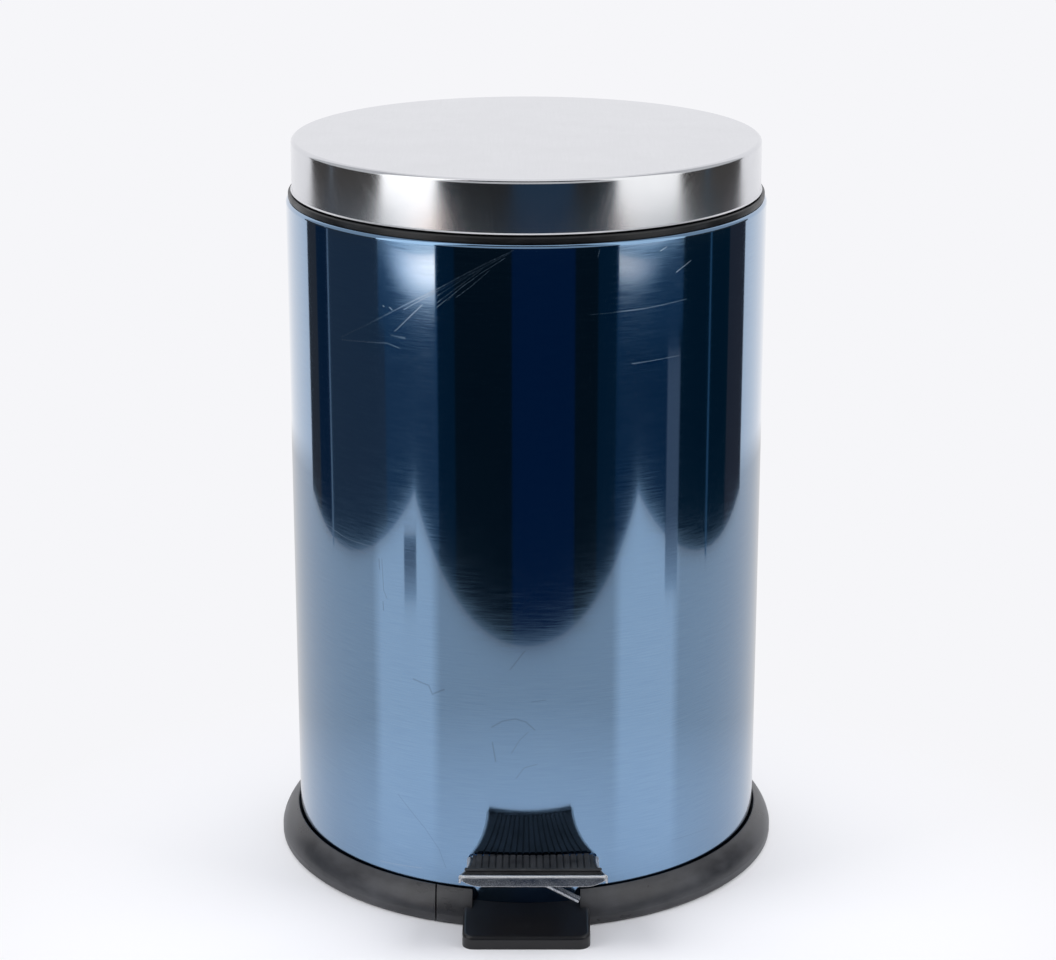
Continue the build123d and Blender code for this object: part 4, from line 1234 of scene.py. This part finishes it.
@dataclass
class Pedal:
    """The pressed plate with its turned-down edges, and the ribbed tread that lies on it."""

    finishes: Finishes
    body_radius: float = 146 * MM
    root: Vector = field(default_factory=lambda: Vector((4 * MM, -146 * MM, 41.7 * MM)))
    tilt: float = 12.0
    reach: float = 46 * MM
    rear_spare: float = 14.8 * MM  # drawn past the body's front and trimmed off there
    rear_width: float = 79 * MM
    front_width: float = 87 * MM
    waist: float = 1.6 * MM
    corner: float = 4 * MM
    least_corner: float = 0.8 * MM
    corner_lead: float = 0.1  # the share of a corner that the bowed side stops short of
    gap: float = 2 * MM
    sheet: float = 1.1 * MM
    edge: float = 1.9 * MM
    cut_edge: float = 0.42 * MM
    cut_angle: float = 50.0
    front_flange: float = 6.6 * MM
    flange_round: float = 12 * MM
    flange_bow: float = 1.6
    flange_share: float = 0.7  # how far round each corner the front flange runs
    corner_relief: float = 2.3 * MM
    side_lip: float = 3 * MM
    hook: float = 9 * MM
    hook_depth: float = 5.2 * MM
    tongue_width: float = 40 * MM
    tongue_length: float = 26 * MM
    margin: float = 3.5 * MM
    pad_base: float = 1.2 * MM
    border: float = 4 * MM
    border_height: float = 1.9 * MM
    lip: float = 1 * MM
    lip_overhang: float = 0.8 * MM
    lip_soft: float = 0.45 * MM
    rib_height: float = 0.9 * MM
    rib_pitch: float = 4 * MM
    rib_width: float = 3.1 * MM
    rib_soft: float = 0.4 * MM

    @property
    def run(self) -> float:
        """The plate's length along its slope."""
        return self.reach / math.cos(math.radians(self.tilt))

    def outline(self, inset: float) -> list[Point]:
        """The plate's plan in its own plane, drawn in from its edge.

        Args:
            inset: How far the outline lies inside the plate's edge.

        Returns:
            The points, round from the right rear corner to the left one by the front.
        """
        rear, front = self.rear_width / 2 - inset, self.front_width / 2 - inset
        nose = -self.run + inset
        corner = max(self.corner - inset, self.least_corner)
        right = bowed((rear, 0), (front - self.corner_lead * corner, nose + corner), -self.waist, steps=10)
        round_nose = arc((front - corner, nose + corner), corner, 0, -90, steps=6)
        inner = front - corner - self.flange_round
        along = bowed((front - corner, nose), (inner, nose), 0, steps=8)[1:]
        half = [*right[:-1], *round_nose, *along]
        return [*half, *[(-x, y) for x, y in reversed(half)]]

    def settle(self, piece: Piece) -> None:
        """Puts a piece made in the plate's own plane where the pedal is.

        Args:
            piece: The piece, which gets its place and tilt in its mesh.
        """
        stand_alone(piece)
        piece.rotation_euler = (-math.radians(self.tilt), 0, 0)
        piece.location = self.root
        bpy.ops.object.transform_apply(location=True, rotation=True, scale=True)

    def trim_at_body(self, piece: Piece) -> None:
        """Cuts a settled piece clear of the body's front."""
        body = drum("body", self.body_radius + self.gap, Vector((0, 0, 0)), 4 * self.reach, sides=360)
        combine(piece, body, Cut.AWAY)

    def flange_depth(self, x: float, y: float) -> float:
        """How far the turned-down edge reaches at a place along the plate.

        Args:
            x: The place across the plate.
            y: The place along the plate.

        Returns:
            The depth: rounded away at the front corners, with a small hook where each side lip begins.
        """
        from_nose = y + self.run
        if from_nose < self.flange_share * self.corner:
            share = min((self.front_width / 2 - abs(x)) / self.flange_round, 1.0)
            bow = 1 - (1 - share) ** self.flange_bow
            depth = self.corner_relief + (self.front_flange - self.corner_relief) * bow
        else:
            share = max(0.0, 1 - (from_nose - self.corner) / self.hook)
            depth = self.side_lip + (self.hook_depth - self.side_lip) * min(share, 1.0) ** 2
        return depth

    def plate(self) -> Piece:
        """Presses the plate: a flat top, rounded over into flanges, as one sheet.

        Returns:
            The plate with its tongue, in its place.
        """
        plan = self.outline(0)
        side = plan[0][0]
        rear = self.rear_spare
        points = [Vector((x, y, 0)) for x, y in [(side, rear), *plan, (-side, rear)]]
        piece = filled("pedal_sheet", points)
        for finish in (self.finishes.polished_pedal_steel, self.finishes.burnished_pedal_edge):
            piece.data.materials.append(finish)
        with editing(piece, Element.EDGES):
            pick(piece, Element.EDGES, lambda e: middle(e).y < rear - LEVEL)
            bpy.ops.mesh.extrude_region_move(TRANSFORM_OT_translate={"value": (0, 0, -self.side_lip)})
            lower = bmesh.from_edit_mesh(piece.data)
            for vertex in lower.verts:
                if vertex.co.z < -0.5 * self.side_lip:
                    vertex.co.z = -self.flange_depth(vertex.co.x, vertex.co.y)
            bmesh.update_edit_mesh(piece.data)
            pick(piece, Element.EDGES, lambda e: self.is_top_edge(e, rear))
            # The rounded top edge takes the burnished finish, whose near-white colour paints its highlight
            # line.
            bpy.ops.mesh.bevel(offset=self.edge, segments=5, affect="EDGES", material=1)
            bpy.ops.mesh.select_all(action="SELECT")
            bpy.ops.mesh.normals_make_consistent(inside=False)
        apply_modifier(piece, "SOLIDIFY", thickness=self.sheet, offset=-1.0, use_even_offset=True)
        # The cut edges take the burnished finish with its painted highlight too.
        apply_modifier(
            piece, "BEVEL", width=self.cut_edge, segments=3, limit_method="ANGLE",
            angle_limit=math.radians(self.cut_angle), material=1,
        )
        self.settle(piece)
        self.trim_at_body(piece)
        self.add_tongue(piece)
        smooth(piece, sharp=40)
        return piece

    @staticmethod
    def is_top_edge(edge: bmesh.types.BMEdge, rear: float) -> bool:
        """Says whether an edge is where the plate's flat top turns down.

        Args:
            edge: The edge.
            rear: The plate's straight rear end, which doesn't turn down.

        Returns:
            True for such an edge.
        """
        level = all(abs(vertex.co.z) < LEVEL for vertex in edge.verts)
        return level and len(edge.link_faces) == 2 and middle(edge).y < rear

    def add_tongue(self, plate: Piece) -> None:
        """Fuses on the tongue that passes through the body to the lever.

        Args:
            plate: The plate, in its place.
        """
        half = self.tongue_width / 2
        offset = -self.root.x
        length = self.tongue_length / math.cos(math.radians(self.tilt))
        tongue = block("tongue", (offset - half, offset + half), (-length, length), (-self.sheet, 0))
        self.settle(tongue)
        combine(plate, tongue, Cut.TOGETHER)

    def slab(self, name: str, outline: Sequence[Point], low: float, high: float) -> Piece:
        """A flat piece with a plan, in the plate's own plane.

        Args:
            name: The piece's name.
            outline: Its plan.
            low: The height of its underside above the plate.
            high: The height of its top.

        Returns:
            The closed slab.
        """
        piece = filled(name, [Vector((x, y, low)) for x, y in outline])
        with editing(piece, Element.VERTS):
            bpy.ops.mesh.select_all(action="SELECT")
            bpy.ops.mesh.extrude_region_move(TRANSFORM_OT_translate={"value": (0, 0, high - low)})
        merge_and_face_out(piece)
        return piece

    def pad(self) -> Piece:
        """Moulds the tread: a base, upright ribs with rounded tops and a plain raised border in front.

        Returns:
            The tread, in its place.
        """
        plan = self.outline(self.margin)
        rear = 0.5 * self.reach
        base = self.slab("tread", [(plan[0][0], rear), *plan, (-plan[0][0], rear)], 0, self.pad_base)
        nose = -self.run + self.margin
        top = self.pad_base + self.border_height
        stem = self.border_slab("stem", self.lip_overhang, 0.5 * self.pad_base, top - 0.5 * self.lip)
        combine(base, stem, Cut.TOGETHER)
        lip = self.border_slab("lip", 0, top - self.lip, top)
        with editing(lip, Element.EDGES):
            pick(lip, Element.EDGES, lambda e: middle(e).z > top - LEVEL)
            bpy.ops.mesh.bevel(offset=self.lip_soft, segments=3, affect="EDGES")
        combine(base, lip, Cut.TOGETHER)
        combine(base, self.ribs(nose + 0.5 * self.border, rear), Cut.TOGETHER)
        self.settle(base)
        self.trim_at_body(base)
        base.name = "tread_pad"
        smooth(base, sharp=40)
        return base

    def border_slab(self, name: str, inset: float, low: float, high: float) -> Piece:
        """One layer of the plain raised border along the tread's front.

        Args:
            name: The layer's name.
            inset: How far it is set back from the tread's edge.
            low: The height of its underside above the plate.
            high: The height of its top.

        Returns:
            The closed layer.
        """
        back = -self.run + self.margin + self.border
        front = [(x, y) for x, y in self.outline(self.margin + inset) if y < back]
        half = max(x for x, y in front)
        return self.slab(name, [(half, back), *front, (-half, back)], low, high)

    def ribs(self, front: float, rear: float) -> Piece:
        """Models one rib and copies it to a row.

        Args:
            front: Where the ribs begin.
            rear: Where they end.

        Returns:
            The row.
        """
        span = self.rear_width - 2 * self.margin - self.rib_pitch
        count = int(span / self.rib_pitch) + 1
        top = self.pad_base + self.rib_height
        half = self.rib_width / 2
        rib = block("rib", (-half, half), (front, rear), (0.5 * self.pad_base, top))
        with editing(rib, Element.EDGES):
            pick(rib, Element.EDGES, lambda e: middle(e).z > top - LEVEL and abs(middle(e).x) > half / 2)
            bpy.ops.mesh.bevel(offset=self.rib_soft, segments=3, affect="EDGES")
        shifts = [(number - (count - 1) / 2) * self.rib_pitch for number in range(count)]
        return copied(rib, "ribs", [Matrix.Translation((shift, 0, 0)) for shift in shifts])

    def build(self) -> None:
        """Models plate and tread and hands them over."""
        plate = self.plate()
        hand_over(plate, "pedal", "pedal_plate", "polished_pedal_steel", self.finishes)
        # The edges' finish is burnished wear plus a highlight painted by its near-white colour.
        plate.material_slots[1].material = self.finishes.burnished_pedal_edge
        hand_over(self.pad(), "pedal", "pedal_pad", "black_tread_rubber", self.finishes)


@dataclass
class LidLiner:
    """The moulded inside of the lid: a disc with a stiff rim, a bead drawn up into it and a gate mark."""

    finishes: Finishes
    sheet: float = 2.2 * MM
    rim_inset: float = 2.2 * MM
    rim_width: float = 2 * MM
    bead_radius: float = 96 * MM
    bead_width: float = 3 * MM
    bead_lean: float = 1.5 * MM
    bead_depth: float = 1.5 * MM
    gate: float = 7 * MM
    gate_depth: float = 0.6 * MM
    soft: float = 0.5 * MM
    turns: int = 288

    def build(self) -> None:
        """Models the disc and hands it over."""
        low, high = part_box("lid_liner")
        radius, bottom, rim_top = high.x, low.z, high.z
        top = bottom + self.sheet
        rim = radius - self.rim_inset
        inner, outer = self.bead_radius, self.bead_radius + self.bead_width
        outline = rounded([
            (0, bottom + self.gate_depth, 0),
            (self.gate, bottom + self.gate_depth, 0),
            (self.gate + self.gate_depth, bottom, 0),
            (inner - self.bead_lean, bottom, self.soft),
            (inner, bottom + self.bead_depth, self.soft),
            (outer, bottom + self.bead_depth, self.soft),
            (outer + self.bead_lean, bottom, self.soft),
            (radius, bottom, 1.6 * self.soft),
            (radius, top, self.soft),
            (rim, top, 0),
            (rim, rim_top, self.soft),
            (rim - self.rim_width, rim_top, self.soft),
            (rim - self.rim_width, top, 0),
            (outer, top, 0),
            (outer, top + self.sheet, self.soft),
            (inner, top + self.sheet, self.soft),
            (inner, top, 0),
            (0, top, 0),
        ])
        disc = turned("liner_disc", outline, self.turns)
        smooth(disc)
        hand_over(disc, "lid", "lid_liner", "black_plastic", self.finishes)


@dataclass
class HingeBlock:
    """The moulded hinge housing with its edges softened, and the four screws that hold it."""

    finishes: Finishes
    frame: dict
    soft: float = 0.5 * MM
    soft_angle: float = 40.0
    flat_angle: float = 1.0
    head_radius: float = 3.5 * MM
    head_height: float = 2 * MM
    head_side: float = 0.9 * MM
    shank_radius: float = 1.75 * MM
    recess: Point = (4.2 * MM, 0.85 * MM)
    recess_depth: float = 1.2 * MM
    turned_in: tuple[float, ...] = (12.0, 37.0, 64.0, 81.0)

    def housing(self) -> Piece:
        """Softens a copy of the CAD housing.

        Returns:
            The housing.
        """
        mesh = self.frame["nodes"]["hinge_housing"].data.copy()
        piece = bpy.data.objects.new("housing_block", mesh)
        bpy.context.scene.collection.objects.link(piece)
        with editing(piece, Element.VERTS):
            bpy.ops.mesh.select_all(action="SELECT")
            bpy.ops.mesh.remove_doubles(threshold=SAME_PLACE)
            bpy.ops.mesh.dissolve_limited(angle_limit=math.radians(self.flat_angle))
        sharp = math.radians(self.soft_angle)
        apply_modifier(piece, "BEVEL", width=self.soft, segments=3, limit_method="ANGLE", angle_limit=sharp)
        smooth(piece, sharp=40)
        return piece

    def screw(self, length: float) -> Piece:
        """Turns one screw, its head upwards, and sinks a cross recess in it.

        Args:
            length: The length of its shank.

        Returns:
            The screw, with the underside of its head at the origin.
        """
        crown = self.head_height - self.head_side
        ball = (self.head_radius**2 + crown**2) / (2 * crown)
        edge = math.degrees(math.acos(self.head_radius / ball))
        profile = [
            (0, -length),
            (self.shank_radius, -length),
            (self.shank_radius, 0),
            (self.head_radius, 0),
            *arc((0, self.head_height - ball), ball, edge, 90, steps=8),
        ]
        piece = turned("screw", profile, turns=40)
        reach, width = (size / 2 for size in self.recess)
        heights = (self.head_height - self.recess_depth, 2 * self.head_height)
        for half_x, half_y in ((reach, width), (width, reach)):
            recess = block("recess", (-half_x, half_x), (-half_y, half_y), heights)
            combine(piece, recess, Cut.AWAY)
        return piece

    def screws(self) -> Piece:
        """Copies the screw to its four places, each turned in to its own angle.

        Returns:
            The four screws as one piece.
        """
        low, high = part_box("housing_screws")
        seat = high.y - self.head_height
        screw = self.screw(seat - low.y)
        reach = high.x - self.head_radius
        heights = (low.z + self.head_radius, high.z - self.head_radius)
        seats = [Matrix.Translation((x, seat, z)) for x in (-reach, reach) for z in heights]
        backwards = Matrix.Rotation(-math.pi / 2, 4, "X")
        turns = [Matrix.Rotation(math.radians(angle), 4, "Z") for angle in self.turned_in]
        row = copied(screw, "screw_heads", [place @ backwards @ turn for place, turn in zip(seats, turns)])
        smooth(row, sharp=40)
        return row

    def build(self) -> None:
        """Models housing and screws and hands them over."""
        hand_over(self.housing(), "can", "hinge_housing", "black_plastic", self.finishes)
        hand_over(self.screws(), "can", "housing_screws", "zinc_plated_steel", self.finishes)


@dataclass
class CarriedOver:
    """The CAD nodes whose shape is kept, each with the finish of its own material slot."""

    finishes: Finishes
    frame: dict

    def dress(self) -> None:
        """Gives every node that still shows its finish."""
        for name, node in sorted(self.frame["nodes"].items()):
            if node.hide_render:
                continue
            slot = node.material_slots[0].material.name.split(".")[0]
            self.finishes.dress(node, slot)
            log.info("%s: CAD node, finished as %s", name, slot)


# Studio


@dataclass(frozen=True)
class Glint:
    """A soft patch of light on a card, warm at its heart, which fades out at its reach."""

    place: Triple
    reach: Triple
    glow: float
    heart: Triple = (1.41, 1.0, 0.76)
    rim: Triple = (0.95, 1.0, 1.04)


@dataclass(frozen=True)
class Panel:
    """An upright card of the studio that only reflections show, between two floor points.

    Its glow gives way to its shade, where it has one, between the two heights of its turn.
    """

    name: str
    start: Point
    end: Point
    low: float
    high: float
    glow: Triple
    shade: Triple | None = None
    turn: Point = (0.274, 0.279)
    glint: Glint | None = None


@dataclass(frozen=True)
class Softbox:
    """A flat lamp, with its place, its width and height, and its power in watts."""

    name: str
    place: Triple
    size: Point
    power: float


@dataclass
class Studio:
    """A pale floor, soft light from the sides and above, cards round sides and front, and the camera."""

    lens: float = 95.28
    camera_place: Vector = field(default_factory=lambda: Vector((0, -1.676, 0.7525)))
    camera_pitch: float = 17.226
    camera_shift: float = 0.0016
    paper_side: float = 0.76
    paper_front: float = -0.615
    paper_back: float = 0.42
    floor_size: float = 30.0
    floor_paper: str = "#E6E6EA"
    background: str = "#F6F6F9"
    room_light: str = "#F4F6FA"
    room_strength: float = 0.55
    lamps: tuple[Softbox, ...] = (
        Softbox("left_softbox", (-1.3, -0.5, 1.2), (0.8, 1.2), 18),
        Softbox("right_softbox", (1.3, -0.4, 1.2), (0.8, 1.2), 17),
        Softbox("top_softbox", (0, 0.6, 1.7), (1.4, 0.8), 14),
    )
    lamp_aim: Vector = field(default_factory=lambda: Vector((0, 0, 0.2)))
    shadow_middle: float = -0.12
    shadow_reach: Point = (0.08, 0.38)
    pool_tip: Point = (0.019, -0.097)
    pool_near: Point = (0.73, 0.82)
    pool_far: Point = (1.31, 1.40)
    pool_dim: float = 0.66
    pool_side: float = 0.69
    lit_beyond: Point = (0.7, 1.0)

    def cards(self) -> list[Panel]:
        """Lists the cards that stand round the paper.

        The dark ones are as tall as the can. Paler ones above them keep the lid's top light from every side,
        and a dark flag over the front keeps the ring and the pedal dark.

        Returns:
            The cards from the left side by the front to the right side, then those above or before them.
        """
        side, front, back = self.paper_side, self.paper_front, self.paper_back
        left_dark = (0.040, 0.060, 0.087)
        navy = (0.009, 0.026, 0.054)
        right_dark = (0.002, 0.018, 0.032)
        left_edge = (0.050, 0.050, 0.056)
        right_edge = (0.040, 0.040, 0.050)
        black = (0.004, 0.012, 0.018)
        blue = (0.002, 0.019, 0.056)
        slate = (0.003, 0.022, 0.042)
        left_grey, left_pale = (0.032, 0.070, 0.120), (0.042, 0.095, 0.165)
        right_grey, right_pale = (0.010, 0.040, 0.080), (0.025, 0.07, 0.125)
        warm_shade = (0.060, 0.057, 0.055)
        black_shade = (0.022, 0.024, 0.026)
        blue_shade = (0.018, 0.038, 0.070)
        post = (0.13, 0.15, 0.19)
        pale_foot = (0.6, 0.63, 0.68)
        tall, flag_low, flag_high = 0.46, 0.95, 2.2
        window = (0.55, 0.56, 0.58)
        fade = (0.14, 0.26)
        front_turn = (0.316, 0.321)
        lamp_low, lamp_high = 0.274, 1.8
        left_lamp, right_lamp = ((-0.488, -0.60), (-0.75, -0.31)), ((0.50, -0.60), (0.75, -0.24))
        left_glint = Glint((-0.488, -0.60, 0.257), (0.42, 0.42, 0.041), 3.1)
        right_glint = Glint((0.505, -0.593, 0.258), (0.36, 0.36, 0.024), 1.45)
        return [
            Panel("left_edge", (-side, back), (-side, 0.27), 0, tall, left_edge, warm_shade),
            Panel("left_navy", (-side, 0.27), (-side, 0.12), 0, tall, navy, warm_shade),
            Panel("left_side", (-side, 0.12), (-side, -0.36), 0, tall, left_dark, warm_shade),
            Panel("left_corner", (-side, -0.36), (-side, front), 0, tall, left_grey, left_pale, fade),
            Panel("left_front", (-side, front), (-0.488, front), 0, tall, left_grey, left_pale, fade),
            Panel("left_slate", (-0.488, front), (-0.36, front), 0, tall, slate, black_shade, front_turn),
            Panel("left_black", (-0.36, front), (-0.063, front), 0, tall, black, black_shade, front_turn),
            Panel("middle_blue", (-0.063, front), (0.226, front), 0, tall, blue, blue_shade, front_turn),
            Panel("right_black", (0.226, front), (0.36, front), 0, tall, black, black_shade, front_turn),
            Panel("right_slate", (0.36, front), (0.50, front), 0, tall, slate, black_shade, front_turn),
            Panel("right_front", (0.50, front), (side, front), 0, tall, right_grey, right_pale, fade),
            Panel("right_corner", (side, front), (side, -0.27), 0, tall, right_grey, right_pale, fade),
            Panel("right_side", (side, -0.27), (side, 0.18), 0, tall, right_dark, warm_shade),
            Panel("right_edge", (side, 0.18), (side, back), 0, tall, right_edge, warm_shade),
            Panel("left_window", (-side, back), (-side, front), tall, flag_high, window),
            Panel("front_window", (-side, front), (side, front), tall, flag_low, window),
            Panel("front_flag", (-side, front), (side, front), flag_low, flag_high, black_shade),
            Panel("right_window", (side, front), (side, back), tall, flag_high, window),
            Panel("left_lamp", *left_lamp, lamp_low, lamp_high, (1.6, 1.6, 1.6)),
            Panel("right_lamp", *right_lamp, lamp_low, lamp_high, (1.25, 1.25, 1.25)),
            Panel("left_glint", *left_lamp, 0.19, 0.266, left_grey, left_pale, fade, left_glint),
            Panel("right_glint", *right_lamp, 0.19, 0.264, right_grey, right_pale, fade, right_glint),
            Panel("left_stand", (-0.557, -0.393), (-0.519, -0.454), 0, 0.055, pale_foot, post, (0.0, 0.04)),
            Panel("right_stand", (0.622, -0.309), (0.648, -0.231), 0, 0.2, pale_foot, post, (0.0, 0.06)),
            Panel("left_pole", (-0.74, 0.112), (-0.74, 0.127), 0, tall, (0.22, 0.27, 0.33)),
            Panel("right_pole", (0.74, -0.022), (0.74, -0.008), 0, tall, (0.05, 0.12, 0.19)),
        ]

    def stand_card(self, panel: Panel) -> None:
        """Stands one card up and lets only reflections show it.

        Args:
            panel: The card.
        """
        bpy.ops.object.select_all(action="DESELECT")
        bpy.ops.mesh.primitive_plane_add(size=1)
        card = bpy.context.object
        card.name = panel.name
        places = [(*foot, height) for height in (panel.low, panel.high) for foot in (panel.start, panel.end)]
        for vertex, place in zip(card.data.vertices, places):
            vertex.co = place
        material, tree = new_tree("card_" + panel.name)
        height = add_node(tree, "SeparateXYZ", [add_node(tree, "TexCoord", out="Object")], out="Z")
        share = add_node(tree, "MapRange", [height, *panel.turn])
        feeds = {0: share, 6: (*panel.glow, 1), 7: (*(panel.shade or panel.glow), 1)}
        colour = add_node(tree, "Mix", feeds, data_type="RGBA")
        lit = add_node(tree, "Emission", {"Color": colour, "Strength": 1.0})
        if panel.glint is not None:
            lit = add_node(tree, "AddShader", [lit, self.glint_light(tree, panel.glint)])
        add_node(tree, "OutputMaterial", [lit])
        card.data.materials.append(material)
        card.visible_camera = False
        card.visible_diffuse = False
        card.visible_shadow = False
        card.visible_transmission = False

    @staticmethod
    def glint_light(tree: Tree, glint: Glint) -> Socket:
        """The light of a soft patch on a card.

        Args:
            tree: The card's node tree.
            glint: The patch.

        Returns:
            Its emission, which falls to nothing at the patch's reach.
        """
        place = add_node(tree, "TexCoord", out="Object")
        off = add_node(tree, "VectorMath", [place, glint.place], operation="SUBTRACT")
        shares = add_node(tree, "VectorMath", [off, glint.reach], operation="DIVIDE")
        apart = add_node(tree, "VectorMath", [shares], operation="LENGTH")
        fade = [apart, 0.0, 1.0, 1.0, 0.0]
        share = add_node(tree, "MapRange", fade, interpolation_type="SMOOTHERSTEP")
        feeds = {0: share, 6: (*glint.rim, 1), 7: (*glint.heart, 1)}
        warmth = add_node(tree, "Mix", feeds, data_type="RGBA")
        strength = add_node(tree, "Math", [share, glint.glow], operation="MULTIPLY")
        return add_node(tree, "Emission", {"Color": warmth, "Strength": strength})

    def lay_floor(self) -> None:
        """Lays a pale floor that keeps the can's shadow and runs out into the white background."""
        bpy.ops.object.select_all(action="DESELECT")
        bpy.ops.mesh.primitive_plane_add(size=self.floor_size)
        floor = bpy.context.object
        floor.name = "floor"
        material, tree = new_tree("floor_paper")
        place = add_node(tree, "TexCoord", out="Object")
        middle_of_shadow = (0, self.shadow_middle, 0)
        reach = add_node(tree, "VectorMath", [place, middle_of_shadow], operation="DISTANCE")
        far_off = add_node(tree, "MapRange", [reach, *self.shadow_reach])
        share = add_node(tree, "Math", [far_off, self.seen_share(tree)], operation="MULTIPLY")
        paper = add_node(tree, "BsdfDiffuse", {"Color": linear(self.floor_paper)})
        white = add_node(tree, "Emission", {"Color": linear(self.background), "Strength": self.pools(tree)})
        add_node(tree, "OutputMaterial", [add_node(tree, "MixShader", [share, paper, white])])
        floor.data.materials.append(material)

    def pools(self, tree: Tree) -> Socket:
        """Sets the floor's brightness: even, but mirrored as two wedges of lamp light on a dimmer floor.

        Args:
            tree: The floor's node tree.

        Returns:
            The strength of its light.
        """
        place = add_node(tree, "TexCoord", out="Object")
        along = add_node(tree, "SeparateXYZ", [place]).node.outputs
        tip_x, tip_y = self.pool_tip
        across = add_node(tree, "Math", [along["X"]], operation="ABSOLUTE")
        sideways = add_node(tree, "Math", [across, tip_x], operation="SUBTRACT")
        forward = add_node(tree, "Math", [tip_y, along["Y"]], operation="SUBTRACT")
        turn = add_node(tree, "Math", [sideways, forward], operation="ARCTAN2")
        begun = add_node(tree, "MapRange", [turn, *self.pool_near, self.pool_dim, 1.0])
        ended = add_node(tree, "MapRange", [turn, *self.pool_far, 1.0, self.pool_side])
        wedge = add_node(tree, "Math", [begun, ended], operation="MINIMUM")
        away = add_node(tree, "VectorMath", [place], operation="LENGTH")
        far = add_node(tree, "MapRange", [away, *self.lit_beyond])
        lit = add_node(tree, "Math", [wedge, far], operation="MAXIMUM")
        mirrored = add_node(tree, "LightPath", out="Is Glossy Ray")
        return add_node(tree, "Mix", {0: mirrored, 2: 1.0, 3: lit}, data_type="FLOAT")

    @staticmethod
    def seen_share(tree: Tree) -> Socket:
        """Tells the rays that look at the background from those that light the can.

        Args:
            tree: The node tree of the floor or the world.

        Returns:
            1 for a ray that looks straight, mirrored or through glass, and otherwise 0.
        """
        path = add_node(tree, "LightPath").node.outputs
        looks = [path["Is Camera Ray"], path["Is Glossy Ray"]]
        straight = add_node(tree, "Math", looks, operation="MAXIMUM")
        return add_node(tree, "Math", [straight, path["Is Transmission Ray"]], operation="MAXIMUM")

    def light_world(self) -> None:
        """Fills the room with soft light and shows a white background."""
        world = bpy.data.worlds.new("studio")
        world.use_nodes = True
        tree = world.node_tree
        tree.nodes.clear()
        feeds = {"Color": linear(self.room_light), "Strength": self.room_strength}
        soft = add_node(tree, "Background", feeds)
        white = add_node(tree, "Background", {"Color": linear(self.background), "Strength": 1.0})
        surface = add_node(tree, "MixShader", [self.seen_share(tree), soft, white])
        add_node(tree, "OutputWorld", [surface])
        bpy.context.scene.world = world

    def hang_lamp(self, softbox: Softbox) -> None:
        """Hangs one softbox, turned to the can.

        Args:
            softbox: The lamp to hang.
        """
        data = bpy.data.lights.new(softbox.name, "AREA")
        data.shape = "RECTANGLE"
        data.size, data.size_y = softbox.size
        data.energy = softbox.power
        lamp = bpy.data.objects.new(softbox.name, data)
        lamp.location = softbox.place
        lamp.rotation_euler = (self.lamp_aim - lamp.location).to_track_quat("-Z", "Y").to_euler()
        lamp.visible_glossy = False
        bpy.context.scene.collection.objects.link(lamp)

    def set_camera(self) -> None:
        """Sets the camera at the photograph's place and angle."""
        data = bpy.data.cameras.new("camera")
        data.lens = self.lens
        data.shift_x = self.camera_shift
        camera = bpy.data.objects.new("camera", data)
        camera.location = self.camera_place
        camera.rotation_euler = (math.radians(90 - self.camera_pitch), 0, 0)
        bpy.context.scene.collection.objects.link(camera)
        bpy.context.scene.camera = camera

    def build(self) -> None:
        """Sets up floor, cards, light and camera."""
        self.lay_floor()
        for panel in self.cards():
            self.stand_card(panel)
        self.light_world()
        for softbox in self.lamps:
            self.hang_lamp(softbox)
        self.set_camera()
        bpy.context.scene.view_settings.view_transform = "Standard"


def main() -> None:
    """Builds the can's looks around its frame and sets up the studio."""
    logging.basicConfig(level=logging.INFO, format="%(name)s: %(message)s")
    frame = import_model()
    skirt_low, skirt_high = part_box("lid_shell")
    finishes = Finishes((skirt_low.z, skirt_high.z))
    Body(finishes).build()
    Lid(finishes).build()
    Collar(finishes).build()
    BaseRing(finishes).build()
    Pedal(finishes).build()
    LidLiner(finishes).build()
    HingeBlock(finishes, frame).build()
    CarriedOver(finishes, frame).dress()
    Studio().build()


if __name__ == "__main__":
    main()
